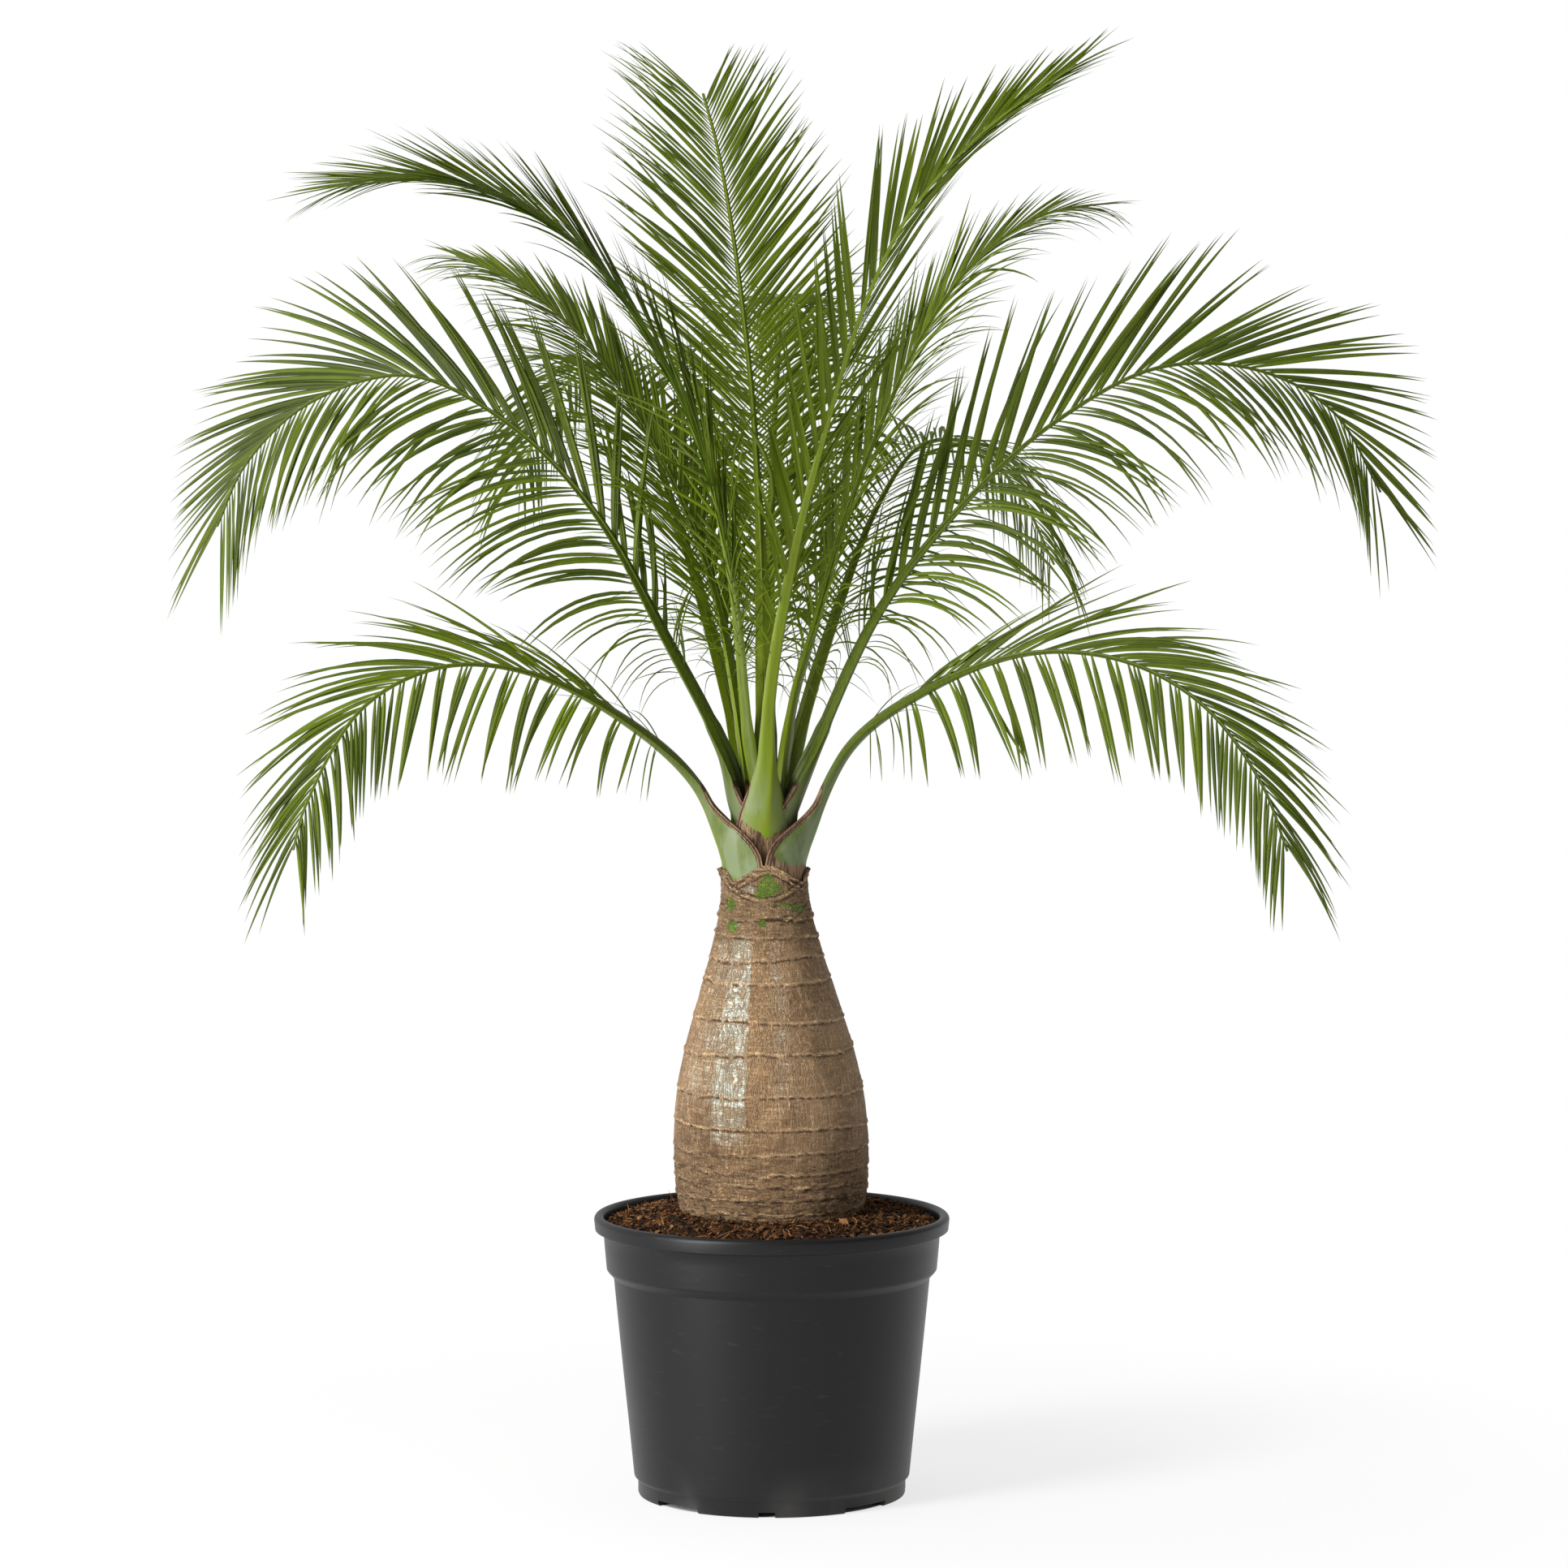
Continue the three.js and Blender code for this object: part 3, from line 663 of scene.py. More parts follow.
@dataclass(frozen=True)
class PalmBark:
    """Tan palm bark with painted shade below its scars, painted highlights on its ridges, silvery
    smooth skin with a painted sheen and last patches of green.
    """

    shaded: Colour = (0.13, 0.061, 0.018)
    tan: Colour = (0.42, 0.252, 0.119)
    # painted shade for the dips below the ridges of the scars and the creases of the bark
    groove_shade: Colour = (0.045, 0.02, 0.009)
    # pale peeling bark, also a painted highlight on the lips of the scars and on raised lines
    lip: Colour = (0.7, 0.46, 0.24)
    earth: Colour = (0.17, 0.068, 0.021)
    # colour of silvery skin, also the painted sheen where that skin faces the key light
    silver_and_painted_sheen: Colour = (0.64, 0.68, 0.58)
    green: Colour = (0.12, 0.24, 0.006)

    def material(self) -> Material:
        """Makes the material.

        Returns:
            The material.
        """
        recipe = Recipe("palm_bark")
        grain, mixed, fact, height = recipe.grain, recipe.mixed, recipe.fact, recipe.height()
        broad, threads = grain(24, 15, 4, 0.4), grain(760, 70, 3, 0.5)
        wrinkles, fissures = grain(48, 300, 5, 1.4), grain(230, 20, 4, 0.8)
        worn = (1 - height.eased(0.27, 0.34)).most(height.eased(0.455, 0.495))
        crackle = grain(150, 190, 5, 1.6).lined(0.05)
        ridges = grain(230, 70, 2, 1.3).lined(0.02) * worn
        lying = wrinkles.lined(0.035).most(crackle * 0.8) * (0.3 + 0.7 * worn)
        upright = fissures.lined(0.06) * broad.eased(0.3, 0.45) * (1 - 0.4 * worn)
        lines = lying.most(upright).most(ridges * 0.7)
        speckle = grain(1500, 900, 2)
        tone = 0.45 * broad + 0.3 * threads + 0.25 * wrinkles
        skin = mixed(self.shaded, self.tan, tone.eased(0.36, 0.6))
        skin = mixed(skin, self.shaded, (worn * 0.5).most(0.6 * speckle.eased(0.45, 0.75)))
        damp = 0.35 + (broad + 0.4 * wrinkles).eased(0.45, 0.85)
        skin = mixed(skin, self.earth, (1 - height.eased(0.25, 0.33)) * damp * 0.55)
        # silvery skin with a painted sheen, strongest where it faces the key light
        silver_and_painted_sheen = (fact("silver_and_painted_sheen") + 0.7 * threads + 0.5 * wrinkles - 0.6).eased(0.1, 1.0)
        smooth = silver_and_painted_sheen * (1 - lines * 0.8)
        skin = mixed(skin, self.silver_and_painted_sheen, smooth * (0.85 - 0.5 * speckle.eased(0.5, 0.8)))
        # painted highlight on the lips of the scars and on the raised lines, partly pale peeling
        # bark
        lip = fact("lip") * wrinkles.eased(0.3, 0.55) * 0.85
        skin = mixed(skin, self.lip, lip.most(lines * (0.55 + 0.3 * worn)))
        # painted shade in the dip below each ridge of the scars
        scar_shade = (fact("scar_shade") + 0.8 * wrinkles - 0.4).eased(0.25, 0.95)
        skin = mixed(skin, self.groove_shade, scar_shade * 0.85)
        # painted shade in the creases of the wrinkled base and neck
        fold_shade = worn * (1 - wrinkles.eased(0.38, 0.47))
        skin = mixed(skin, self.groove_shade, fold_shade * (0.8 - 0.6 * lines))
        green = (fact("green") + threads + 0.8 * wrinkles - 0.9).eased(0.35, 0.8)
        skin = mixed(skin, self.green, green * (0.8 + 0.2 * broad) * (1 - 0.3 * crackle))
        raised = lying.most(1.6 * ridges) + upright * 0.7 + 0.4 * threads
        normal = recipe.bumped(raised + 0.9 * wrinkles * (0.2 + 0.8 * worn), 1.0, 0.0026)
        return recipe.surfaced(skin, 0.66 + 0.2 * worn - 0.24 * silver_and_painted_sheen - 0.1 * green, 0.46, normal)


@dataclass(frozen=True)
class StalkSkin:
    """Green stalk skin with a painted highlight along its keel, a pale bloom low down, and dry
    brown margins on the sheath with painted shade between their ropes.
    """

    deep: Colour = (0.04, 0.062, 0.005)
    bright: Colour = (0.16, 0.215, 0.004)
    bloom: Colour = (0.19, 0.235, 0.125)
    dry: Colour = (0.3, 0.19, 0.11)
    # dark fibre, also painted as shade between the margin's ropes
    dark_fibre_and_shade: Colour = (0.045, 0.02, 0.01)
    through: Colour = (0.2, 0.34, 0.03)

    def material(self) -> Material:
        """Makes the material.

        Returns:
            The material.
        """
        recipe = Recipe("stalk_skin")
        grain, mixed, fact = recipe.grain, recipe.mixed, recipe.fact
        streaks, cloud, threads = grain(500, 22), grain(55, 30, 3, 0.4), grain(900, 60, 3, 0.3)
        keel, edge, foot = fact("shade"), fact("edge"), fact("foot")
        low = 1 - fact("reach").eased(0.02, 0.11)
        green = (0.65 * fact("youth") + 0.5 * streaks - 0.05).eased(0.0, 1.0)
        skin = mixed(self.deep, self.bright, green)
        # painted highlight along the keel
        skin = mixed(skin, self.bright, keel * 0.7)
        pale = (0.2 + 0.8 * cloud.eased(0.34, 0.58)) * low.most(1 - foot.eased(0.005, 0.06))
        skin = mixed(skin, self.bloom, pale * (1 - keel) * 0.8)
        jag = 0.006 * (threads - 0.5) + 0.012 * (cloud - 0.5)
        margin = 1 - (edge + 0.35 * jag - 0.0026 * low).eased(0.0012, 0.0024)
        dry = margin.most(1 - (foot + 1.1 * jag).eased(-0.001, 0.001))
        # painted shade in the dips between the margin's ropes, over dark fibres
        rope = (edge * 2417.0).waved().eased(-0.4, 0.6).most(edge.eased(0.0048, 0.006))
        fibrous = (0.6 * threads + 0.4 * cloud).eased(0.32, 0.6)
        husk = mixed(self.dark_fibre_and_shade, self.dry, fibrous * (0.15 + 0.85 * rope))
        skin = mixed(skin, husk, dry)
        roughness = 0.42 + 0.12 * streaks + 0.4 * dry
        normal = recipe.bumped(streaks * 0.3 + threads * (0.15 + dry), 0.5, 0.0009)
        return recipe.surfaced(skin, roughness, 0.3, normal, self.through, 0.06)


@dataclass(frozen=True)
class LeafBlade:
    """Leaflet skin: darker and lighter leaflets, a pale midrib, fine veins and yellowing tips."""

    old: Colour = (0.026, 0.037, 0.0035)
    young: Colour = (0.2, 0.276, 0.003)
    rib: Colour = (0.22, 0.27, 0.05)
    fresh: Colour = (0.12, 0.165, 0.006)
    tip: Colour = (0.3, 0.27, 0.08)
    through: Colour = (0.27, 0.42, 0.007)

    def material(self) -> Material:
        """Makes the material.

        Returns:
            The material.
        """
        recipe = Recipe("leaf_blade")
        mixed, shade, cloud = recipe.mixed, recipe.fact("shade"), recipe.grain(70, 70)
        across, along, _ = recipe.parts(recipe.node("UVMap", {"uv_map": "grown"})[0])
        veins = abs((across * 75.0).waved())
        inner = 1 - recipe.fact("reach").eased(0.22, 0.55)
        tone = recipe.fact("youth") * (0.45 + 0.45 * inner) + 0.4 * shade + 0.3 * cloud - 0.1
        blade = mixed(self.old, self.young, tone.eased(0.05, 1.0))
        rib = 1 - abs(across - 0.5).eased(0.02, 0.09)
        blade = mixed(blade, self.rib, (rib * 0.55).most(0.12 * veins))
        blade = mixed(blade, self.fresh, along.eased(0.3, 1.0) * 0.5)
        blade = mixed(blade, self.tip, along.eased(0.9, 1.0) * shade.eased(0.45, 0.8) * 0.7)
        normal = recipe.bumped(veins * 0.5 + rib, 0.25, 0.0003)
        return recipe.surfaced(blade, 0.42 + 0.16 * cloud, 0.27, normal, self.through, 0.36)


# ---- container


@dataclass
class NurseryPot:
    """The round container: foot, drafted wall, collar and overhanging lip. Millimetres."""

    steps: int = 144
    foot_radius: float = 113.2
    foot_width: float = 8
    notch_height: float = 4.8
    notches: Pairs = ((24, 45), (7, 88))  # width and place of the first, in degrees
    lip: Place = (145.8, 233.8, 4.2)  # radius and height of its middle, and half its width
    outside: Pairs = (
        (0, 0), (21, 0), (22, 1), (23, 5), (105.2, 5), (106.2, 0.8), (107.2, 0), (110.8, 0),
        (112.5, 0.7), (113.2, 2.4), (113.2, 12.7), (113.5, 13.5), (116.1, 15.8), (116.5, 16.6),
        (116.65, 17.6), (121, 61), (125.1, 100), (128.9, 138), (131.3, 162), (133.2, 182),
        (133.5, 185), (134.7, 186.4), (138.4, 190.4), (139.4, 191.8), (139.6, 193.4), (141.3, 213),
        (142, 222), (143, 223.8), (147.5, 224.8), (149.1, 225.4),
    )
    inside: Pairs = (
        (139.4, 220), (137, 192.6), (130.9, 185), (126.3, 138), (113.9, 18.6), (110.9, 8.5),
        (0, 8.5),
    )

    def profile(self) -> list[tuple[float, float]]:
        """The wall's outline, from the middle of its underside round to the middle of its floor.

        Returns:
            Radius and height of each corner.
        """
        radius, height, half = self.lip
        turns = [math.radians(turn) for turn in range(0, 181, 18)]
        rolled_lip = [(radius + half * math.cos(t), height + half * math.sin(t)) for t in turns]
        return [*self.outside, *rolled_lip, *self.inside]

    def cut_notches(self, pot: Object) -> None:
        """Cuts the wide and the narrow notches out of the foot.

        Args:
            pot: The uncut container.
        """
        cutters = []
        for width, first in self.notches:
            breadth = 2 * self.foot_radius * math.sin(math.radians(width / 2))
            for turn in range(4):
                cutter = start(bpy.ops.mesh.primitive_cube_add, size=1)
                with editing(cutter):
                    stretch(2.4 * self.foot_width * MM, breadth * MM, 2 * self.notch_height * MM)
                    bpy.ops.transform.translate(value=(self.foot_radius * MM, 0, 0))
                cutter.rotation_euler.z = math.radians(first + 90 * turn)
                take(cutter)
                bpy.ops.object.transform_apply(location=False, rotation=True, scale=False)
                cutters.append(cutter)
        tool = joined(*cutters)
        take(pot)
        cut = pot.modifiers.new("notches", "BOOLEAN")
        cut.object, cut.operation, cut.solver = tool, "DIFFERENCE", "EXACT"
        bpy.ops.object.modifier_apply(modifier=cut.name)
        bpy.data.objects.remove(tool)

    def build(self, plastic: Material) -> None:
        """Makes the container in its finish.

        Args:
            plastic: The finish.
        """
        pot = turned("nursery_pot", self.profile(), self.steps)
        self.cut_notches(pot)
        pot.data.materials.append(plastic)
        finished(pot, "pot", crease=30)


# ---- potting mix


@dataclass
class PottingMix:
    """The mounded potting mix with its crumbs and bits of fibre. Millimetres."""

    inner_radius: float = 77
    wall_radius: float = 139.1
    edge_height: float = 231
    mound_height: float = 241
    bed: Pairs = (
        (0, 8.9), (111, 8.9), (113.6, 16.6), (126, 138), (130.6, 185), (136.7, 192.6), (138.6, 222))
    hole: Pairs = ((58.3, 190), (0, 190))
    steps: int = 160
    strand: Pairs = ((0, 0.5), (6, 1.0), (12, 1.0), (18, 0.8))
    crumbs: int = 5000
    fibres: int = 1500
    seed: int = 11

    def surface(self, radius: Array) -> Array:
        """The mound's height at a radius."""
        share = np.clip((self.wall_radius - radius) / (self.wall_radius - self.inner_radius), 0, 1)
        return between(self.edge_height, self.mound_height, np.sin(share * math.pi / 2))

    def mound(self) -> Object:
        """The body of the mix, uneven on top.

        Returns:
            The mound.
        """
        radii = np.linspace(self.wall_radius, 60, 34)
        top = zip(radii.tolist(), self.surface(radii).tolist())
        mound = turned("potting_mix", [*self.bed, *top, *self.hole], self.steps)
        places = places_of(mound)
        upper = places[:, 2] > self.edge_height - 0.5
        radius = np.hypot(places[:, 0], places[:, 1])
        lumps = 2.3 * rough(places, 0.07, 0.07) + 1.6 * rough(places, 0.22, 0.22, 3)
        places[:, 2] += np.where(upper, lumps * ease(self.wall_radius - radius, 0, 5), 0)
        move_to(mound, places)
        note(mound, {"shade": np.full(len(places), 0.1)})
        return mound

    def scattered(self, random: Random, count: int) -> Array:
        """Places on the mound, in millimetres, one to a row.

        Args:
            random: The mix's random numbers.
            count: How many places.

        Returns:
            The places.
        """
        nearest, furthest = self.inner_radius - 3, self.wall_radius - 2.5
        radius = np.sqrt(random.uniform(nearest ** 2, furthest ** 2, count))
        turn = random.uniform(0, math.tau, count)
        x, y = radius * np.cos(turn), radius * np.sin(turn)
        return np.stack([x, y, self.surface(radius)], axis=1)

    def crumb_copies(self, random: Random) -> Object:
        """One knobbly crumb, modelled once and copied over the mound.

        Args:
            random: The mix's random numbers.

        Returns:
            All crumbs as one mesh.
        """
        obj = start(bpy.ops.mesh.primitive_ico_sphere_add, subdivisions=1, radius=0.5)
        with editing(obj):
            bpy.ops.transform.vertex_random(offset=0.14, uniform=0.3, seed=3)
            stretch(1.8, 0.8, 0.55)
        crumb, count = Pattern.of(obj), self.crumbs
        place = self.scattered(random, count)
        size = random.gamma(3.0, 0.66, count) + 0.8
        axes = [unit(random.normal(size=(count, 3))) for _ in range(2)]
        corners = np.repeat(crumb.corners[None], count, axis=0) * size[:, None, None]
        for axis in axes:
            angle = np.repeat(random.uniform(-1.3, 1.3, (count, 1)), corners.shape[1], 1)
            corners = turned_about(corners, axis[:, None, :], angle)
        place[:, 2] += random.normal(0.2, 0.9, count)
        shade = random.uniform(0, 1, count)
        return crumb.copied("crumbs", corners + place[:, None], {"shade": shade})

    def fibre_copies(self, random: Random) -> Object:
        """Bits of fibre and bark that lie on the mound.

        Args:
            random: The mix's random numbers.

        Returns:
            All fibres as one mesh.
        """
        strand = Pattern.drawn_out(sides=3, thick=0.5, fold=0.0, rings=self.strand)
        count = self.fibres
        level, rise = random.normal(size=(2, count)), random.uniform(-0.15, 0.45, count)
        place = self.scattered(random, count)
        place[:, 2] += 1.2
        shoots = Shoots(
            place=place,
            heading=np.stack([*level, rise], axis=1),
            breadth=random.normal(size=(count, 3)),
            aim=random.normal(size=(count, 3)),
            length=random.uniform(4, 13, count),
            width=random.uniform(0.5, 1.6, count),
            droop=random.uniform(0.2, 1.0, count),
            sweep=random.uniform(0, 0.8, count),
            twist=np.zeros(count),
        )
        shade = random.uniform(0.2, 1, count)
        return strand.copied("fibres", shoots.grown(strand), {"shade": shade})

    def build(self, crumbly: Material) -> None:
        """Makes the potting mix in its finish.

        Args:
            crumbly: The finish.
        """
        random = np.random.default_rng(self.seed)
        mix = joined(self.mound(), self.crumb_copies(random), self.fibre_copies(random))
        mix.data.materials.clear()
        mix.data.materials.append(crumbly)
        finished(mix, "soil", crease=50)


# ---- trunk


@dataclass
class BottleTrunk:
    """The swollen trunk with its ring scars, wrinkles and dry collar. Millimetres.

    A spot is the X and Z of its middle, its width and its height. A band is the place of its
    middle and half its width in degrees, how much of that is full, and its strength.
    """

    base_top: float = 243
    top: float = 529
    lean_at_top: float = -6.5
    collar: tuple[float, float] = (515, 540)
    core: float = 10  # radius inside which nothing is shaped
    shell: float = 34  # radius outside which the collar's skin lies
    buried: tuple[float, float] = (225, 240)  # heights between which the bark's relief fades
    smoothing: int = 9
    steps: int = 240
    outline: Pairs = (
        (150, 57.6), (213, 75.6), (243, 76.9), (259, 80.4), (283, 81.8), (304, 82.1), (332, 80.1),
        (353, 77.1), (381, 70.6), (409, 62.5), (437, 54.1), (451, 49.6), (475, 43.2), (489, 39.4),
        (506, 36.9), (529, 36.0),
    )
    inside: Pairs = (
        (35.6, 539.9), (35.5, 538.0), (35.45, 530.0), (35.45, 522.0), (35.4, 511.0), (0.0, 511.0))
    scars: Pairs = (  # height, and how far the ridge stands out
        (249, 0.7), (260, 1.1), (271, 0.8), (283, 1.0), (298, 0.8), (319, 1.1), (348, 1.2),
        (380, 1.3), (407, 1.1), (440, 1.2), (457, 1.0), (476, 1.6), (492, 1.9), (507, 1.9),
    )
    green_spots: Spots = (
        (-34, 502.6, 3.8, 6.0), (-33, 484.5, 4.6, 5), (-7.8, 488, 3.6, 3.4), (14, 502, 8, 2.2),
        (23, 498, 4, 3),
    )
    pale_spots: Spots = ((-13, 515.5, 5.5, 4), (-19.4, 471, 4.5, 6), (-26, 487.5, 5, 3))
    # upright bands of silvery skin with a painted sheen, the strongest and broadest on the front
    # left, facing the key light
    bands: Spots = (
        (-117, 14, 0.72, 1.0), (-140, 34, 0.1, 0.42), (-80, 16, 0.1, 0.34), (20, 22, 0.2, 0.6),
        (100, 18, 0.6, 0.8), (165, 16, 0.2, 0.5),
    )

    @staticmethod
    def spotted(places: Array, spots: Spots) -> Array:
        """The share of a spot at each place in front.

        Args:
            places: Points of the trunk, one to a row.
            spots: The spots.

        Returns:
            The share at each point.
        """
        share = np.zeros(len(places))
        for x, z, wide, tall in spots:
            off = np.hypot((places[:, 0] - x) / wide, (places[:, 2] - z) / tall)
            share = np.maximum(share, 1 - ease(off, 0.5, 1.5))
        return np.where(places[:, 1] < 0, share, 0)

    def front_turn(self, places: Array) -> Array:
        """Degrees round the trunk from its front, or from its back for the half behind.

        Args:
            places: Points of the trunk, one to a row.

        Returns:
            The turn of each point.
        """
        turn = np.degrees(np.arctan2(places[:, 0], -places[:, 1]))
        behind = np.where(turn > 0, 180 - turn, -180 - turn) * 0.9 + 4
        return np.where(np.abs(turn) > 90, behind, turn)

    def collar_top(self, places: Array) -> Array:
        """The height of the dry collar's torn top edge, with a peak in front and behind.

        Args:
            places: Points of the trunk, one to a row.

        Returns:
            The height above or below each point.
        """
        turn = np.abs(self.front_turn(places) - 6)
        peak = 538.5 - 0.34 * turn - 1.5 * ease(-turn, -10, 0)
        sides = between(519, 531, ease(turn, 44, 72))
        return np.maximum(peak, sides) + 1.1 * rough(places, 0.5, 0, 3)

    def collar_fold(self, places: Array) -> Array:
        """The height of the older layer's edge, a hollow curve below each peak."""
        turn = np.clip(np.abs(self.front_turn(places)) / 80, 0, 1)
        return 508 + 24 * turn ** 1.6 + 0.8 * rough(places, 0.3, 0)

    def lean(self, height: Array) -> Array:
        """How far the trunk's middle has moved sideways at a height."""
        share = np.maximum(0, (height - self.base_top) / (self.top - self.base_top))
        return self.lean_at_top * share ** 1.5

    def relief(self, places: Array) -> tuple[Array, Array, Array]:
        """How far the bark stands out, and where shade is painted in the dips below its scars and
        in creases, and a highlight on their lips and ridges.

        Args:
            places: Points of the smooth bottle, one to a row.

        Returns:
            The relief in millimetres, and at each point the share of painted shade in dips and
            creases and of painted highlight on lips and ridges.
        """
        height = places[:, 2]
        turn = np.arctan2(places[:, 1], places[:, 0])
        wander = rough(places, 0.045, 0.012, 3)
        flutter, flicker = rough(places, 0.2, 0.02), rough(places, 0.6, 0.15)
        relief, groove_shade, lip = np.zeros((3, len(places)))
        for number, (line, ridge) in enumerate(self.scars):
            waver = 1.4 * (np.sin(turn + number * 2.1) + 0.5 * np.sin(3 * turn + number))
            shift = 2.6 * wander * math.cos(number) + 1.3 * flutter
            off = height - line - waver - shift - 0.7 * flicker
            here = ridge * (0.75 + 0.5 * flutter)
            relief += here * hump(off, 0, 1.3) - 0.55 * ridge * hump(off, -2.7, 1.1)
            relief += 0.35 * ridge * hump(off, 5.5, 1.0) * ease(wander, 0, 0.3)
            # painted shade in the dip below the ridge
            groove_shade = np.maximum(groove_shade, hump(off, -2.3, 1.2) * np.clip(0.7 + flutter, 0, 1))
            # painted highlight on each ridge's top
            lip = np.maximum(lip, hump(off, 0, 1.3))
        worn = np.maximum(ease(height, 318, 262), ease(height, 478, 500))
        wrinkles = rough(places + 6 * wander[:, None], 0.07, 0.3, 4)
        creases = hump(wrinkles, 0, 0.13)
        relief += worn * (0.7 * creases + 0.9 * wrinkles) + 0.3 * rough(places, 0.35, 0.03)
        # painted shade in the low creases of the wrinkles
        groove_shade = np.maximum(groove_shade, 0.7 * worn * ease(-wrinkles, 0.2, 0.5))
        # painted highlight on the raised creases
        return relief, groove_shade, np.maximum(lip, 0.8 * worn * creases)

    def necked(self, places: Array, edge: Array) -> tuple[Array, Array, Array]:
        """The relief with the dry collar's layers round the neck.

        Args:
            places: Points of the bottle, one to a row.
            edge: How far each point lies below the collar's torn edge.

        Returns:
            The relief in millimetres, and at each point the share of painted shade in dips and
            creases and of painted highlight on lips and ridges.
        """
        relief, groove_shade, lip = self.relief(places)
        height = places[:, 2]
        fold, neck = height - self.collar_fold(places), ease(height, 500, 508)
        relief = relief * (1 - 0.8 * neck) + neck * (
            0.9 * ease(-fold, -0.6, 0.4) * ease(fold, -14, -2) + 1.5 * hump(fold, -1.4, 1.2)
            - 0.7 * hump(fold, -4.6, 1.1) + 1.6 * hump(edge, 1.5, 1.2) - 0.5 * hump(edge, 4.1, 0.9)
            + hump(edge, 6.2, 1.0) + 0.6 * rough(places, 0.4, 0.2, 3))
        relief -= 0.5 * ease(height, 522, 538)
        # painted shade in the dips between the collar's layers and ropes
        dark = [hump(*line, 1.0) for line in ((fold, 1.3), (fold, -4.4), (edge, 4.0), (edge, 8.6))]
        # painted highlight on the ridges of the collar's layers and ropes
        light = [hump(*line, 1.1) for line in ((fold, -1.4), (edge, 1.4), (edge, 6.2))]
        groove_shade = np.maximum(groove_shade * (1 - neck), neck * np.max(dark, axis=0))
        return relief, groove_shade, np.maximum(lip * (1 - neck), neck * np.max(light, axis=0))

    def silver_and_painted_sheen(self, places: Array, groove_shade: Array) -> Array:
        """The share of smooth silvery skin with a painted sheen, in broken upright bands between
        the scars, strongest on the front left where the key light falls.

        Args:
            places: Points of the trunk, one to a row.
            groove_shade: The share of painted shade in dips and creases there.

        Returns:
            The share at each point.
        """
        turn = np.degrees(np.arctan2(places[:, 1], places[:, 0]))
        share = np.zeros(len(places))
        blotches = 0.5 * rough(places, 0.05, 0.03, 3)
        for middle, half, full, strength in self.bands:
            off = np.abs((turn - middle + 180) % 360 - 180) + 2 * blotches
            share = np.maximum(share, strength * ease(-off, -half, -half * full))
        height = places[:, 2] + 2 * blotches
        tall = np.maximum(ease(height, 333, 342), 0.5 * ease(height, 298, 312))
        bands = np.clip(share * (0.85 + blotches), 0, 1) * (tall * ease(-height, -486, -470))
        return np.maximum(bands, self.spotted(places, self.pale_spots)) * (1 - groove_shade)

    def green(self, places: Array) -> Array:
        """The share of green skin that is left near the neck.

        Args:
            places: Points of the trunk, one to a row.

        Returns:
            The share at each point.
        """
        x, y, z = places.T
        rise = np.clip((531 - z) / 17, 0, 1)
        inside = 1 - np.abs(x + 4.2 - 2.7 * rise) / (1.5 + 11.5 * rise)
        above = z - 507 - 0.35 * np.abs(x + 8.7)
        patch = ease(inside, -0.05, 0.2) * ease(above, -0.5, 2) * ease(-z, -530.5, -528.5) * (y < 0)
        return np.maximum(self.spotted(places, self.green_spots), patch)

    def build(self, bark: Material) -> None:
        """Makes the trunk in its finish.

        Args:
            bark: The finish.
        """
        heights = np.concatenate([[150, 190, 213], np.arange(232, 540.1, 1.0)])
        radii = np.interp(heights, *np.array(self.outline).T)
        blurred = np.convolve(radii, np.ones(self.smoothing) / self.smoothing, "same")
        radii[10:-14] = blurred[10:-14]
        skin = zip(radii.tolist(), heights.tolist())
        trunk = turned("bottle_trunk", [(0.0, 150.0), *skin, *self.inside], self.steps)
        places = places_of(trunk)
        height, (low, high) = places[:, 2], self.collar
        radius = np.maximum(np.hypot(places[:, 0], places[:, 1]), 1e-6)
        top = self.collar_top(places)
        lowered = low + (height - low) * (top - low) / (high - low)
        places[:, 2] = np.where((height > low) & (radius > self.shell), lowered, height)
        relief, groove_shade, lip = self.necked(places, top - places[:, 2])
        relief = np.where(radius > self.core, relief * ease(places[:, 2], *self.buried), 0)
        # the shares of painted shade in dips, painted highlight on lips, and silvery skin with a
        # painted sheen
        shares = {"scar_shade": groove_shade, "lip": lip, "silver_and_painted_sheen": self.silver_and_painted_sheen(places, groove_shade)}
        note(trunk, {name: share * (radius > self.core) for name, share in shares.items()})
        places[:, :2] *= ((radius + relief) / radius)[:, None]
        places[:, 0] += self.lean(places[:, 2])
        note(trunk, {"green": self.green(places)})
        move_to(trunk, places)
        trunk.data.materials.append(bark)
        finished(trunk, "trunk", crease=60)


# ---- fronds


class Hand(Enum):
    """The side of the rachis that a row of leaflets stands on, seen from the stalk."""

    LEFT = 1
    RIGHT = -1


@dataclass(frozen=True)
class Row:
    """How one row of leaflets leaves the rachis. Degrees and millimetres.

    Clump draws the leaflets into bunches of three, curl bends them about at the stalk, taper is
    the last one's length against the longest, and stray is how far each leans its own way.
    """

    root_angle: float
    tip_angle: float
    rise: float
    droop: float
    length: float
    width: float
    clump: float = 0
    curl: float = 0.2
    taper: float = 0.62
    stray: float = 3


@dataclass(frozen=True)
class Frond:
    """One frond: its sheath's ring and side, its rachis's route and its two rows of leaflets.

    Side is the sheath's place round the trunk, wrap half of what it covers, and roll the turn of
    the blade, in degrees. Foot is where the sheath's dry foot ends, at its middle and its edge.
    """

    ring: int
    side: float
    wrap: float
    roll: float
    left: Row
    right: Row
    route: tuple[Place, ...]
    youth: float
    foot: tuple[float, float] = (0, 4)
    spacing: float = 7.4


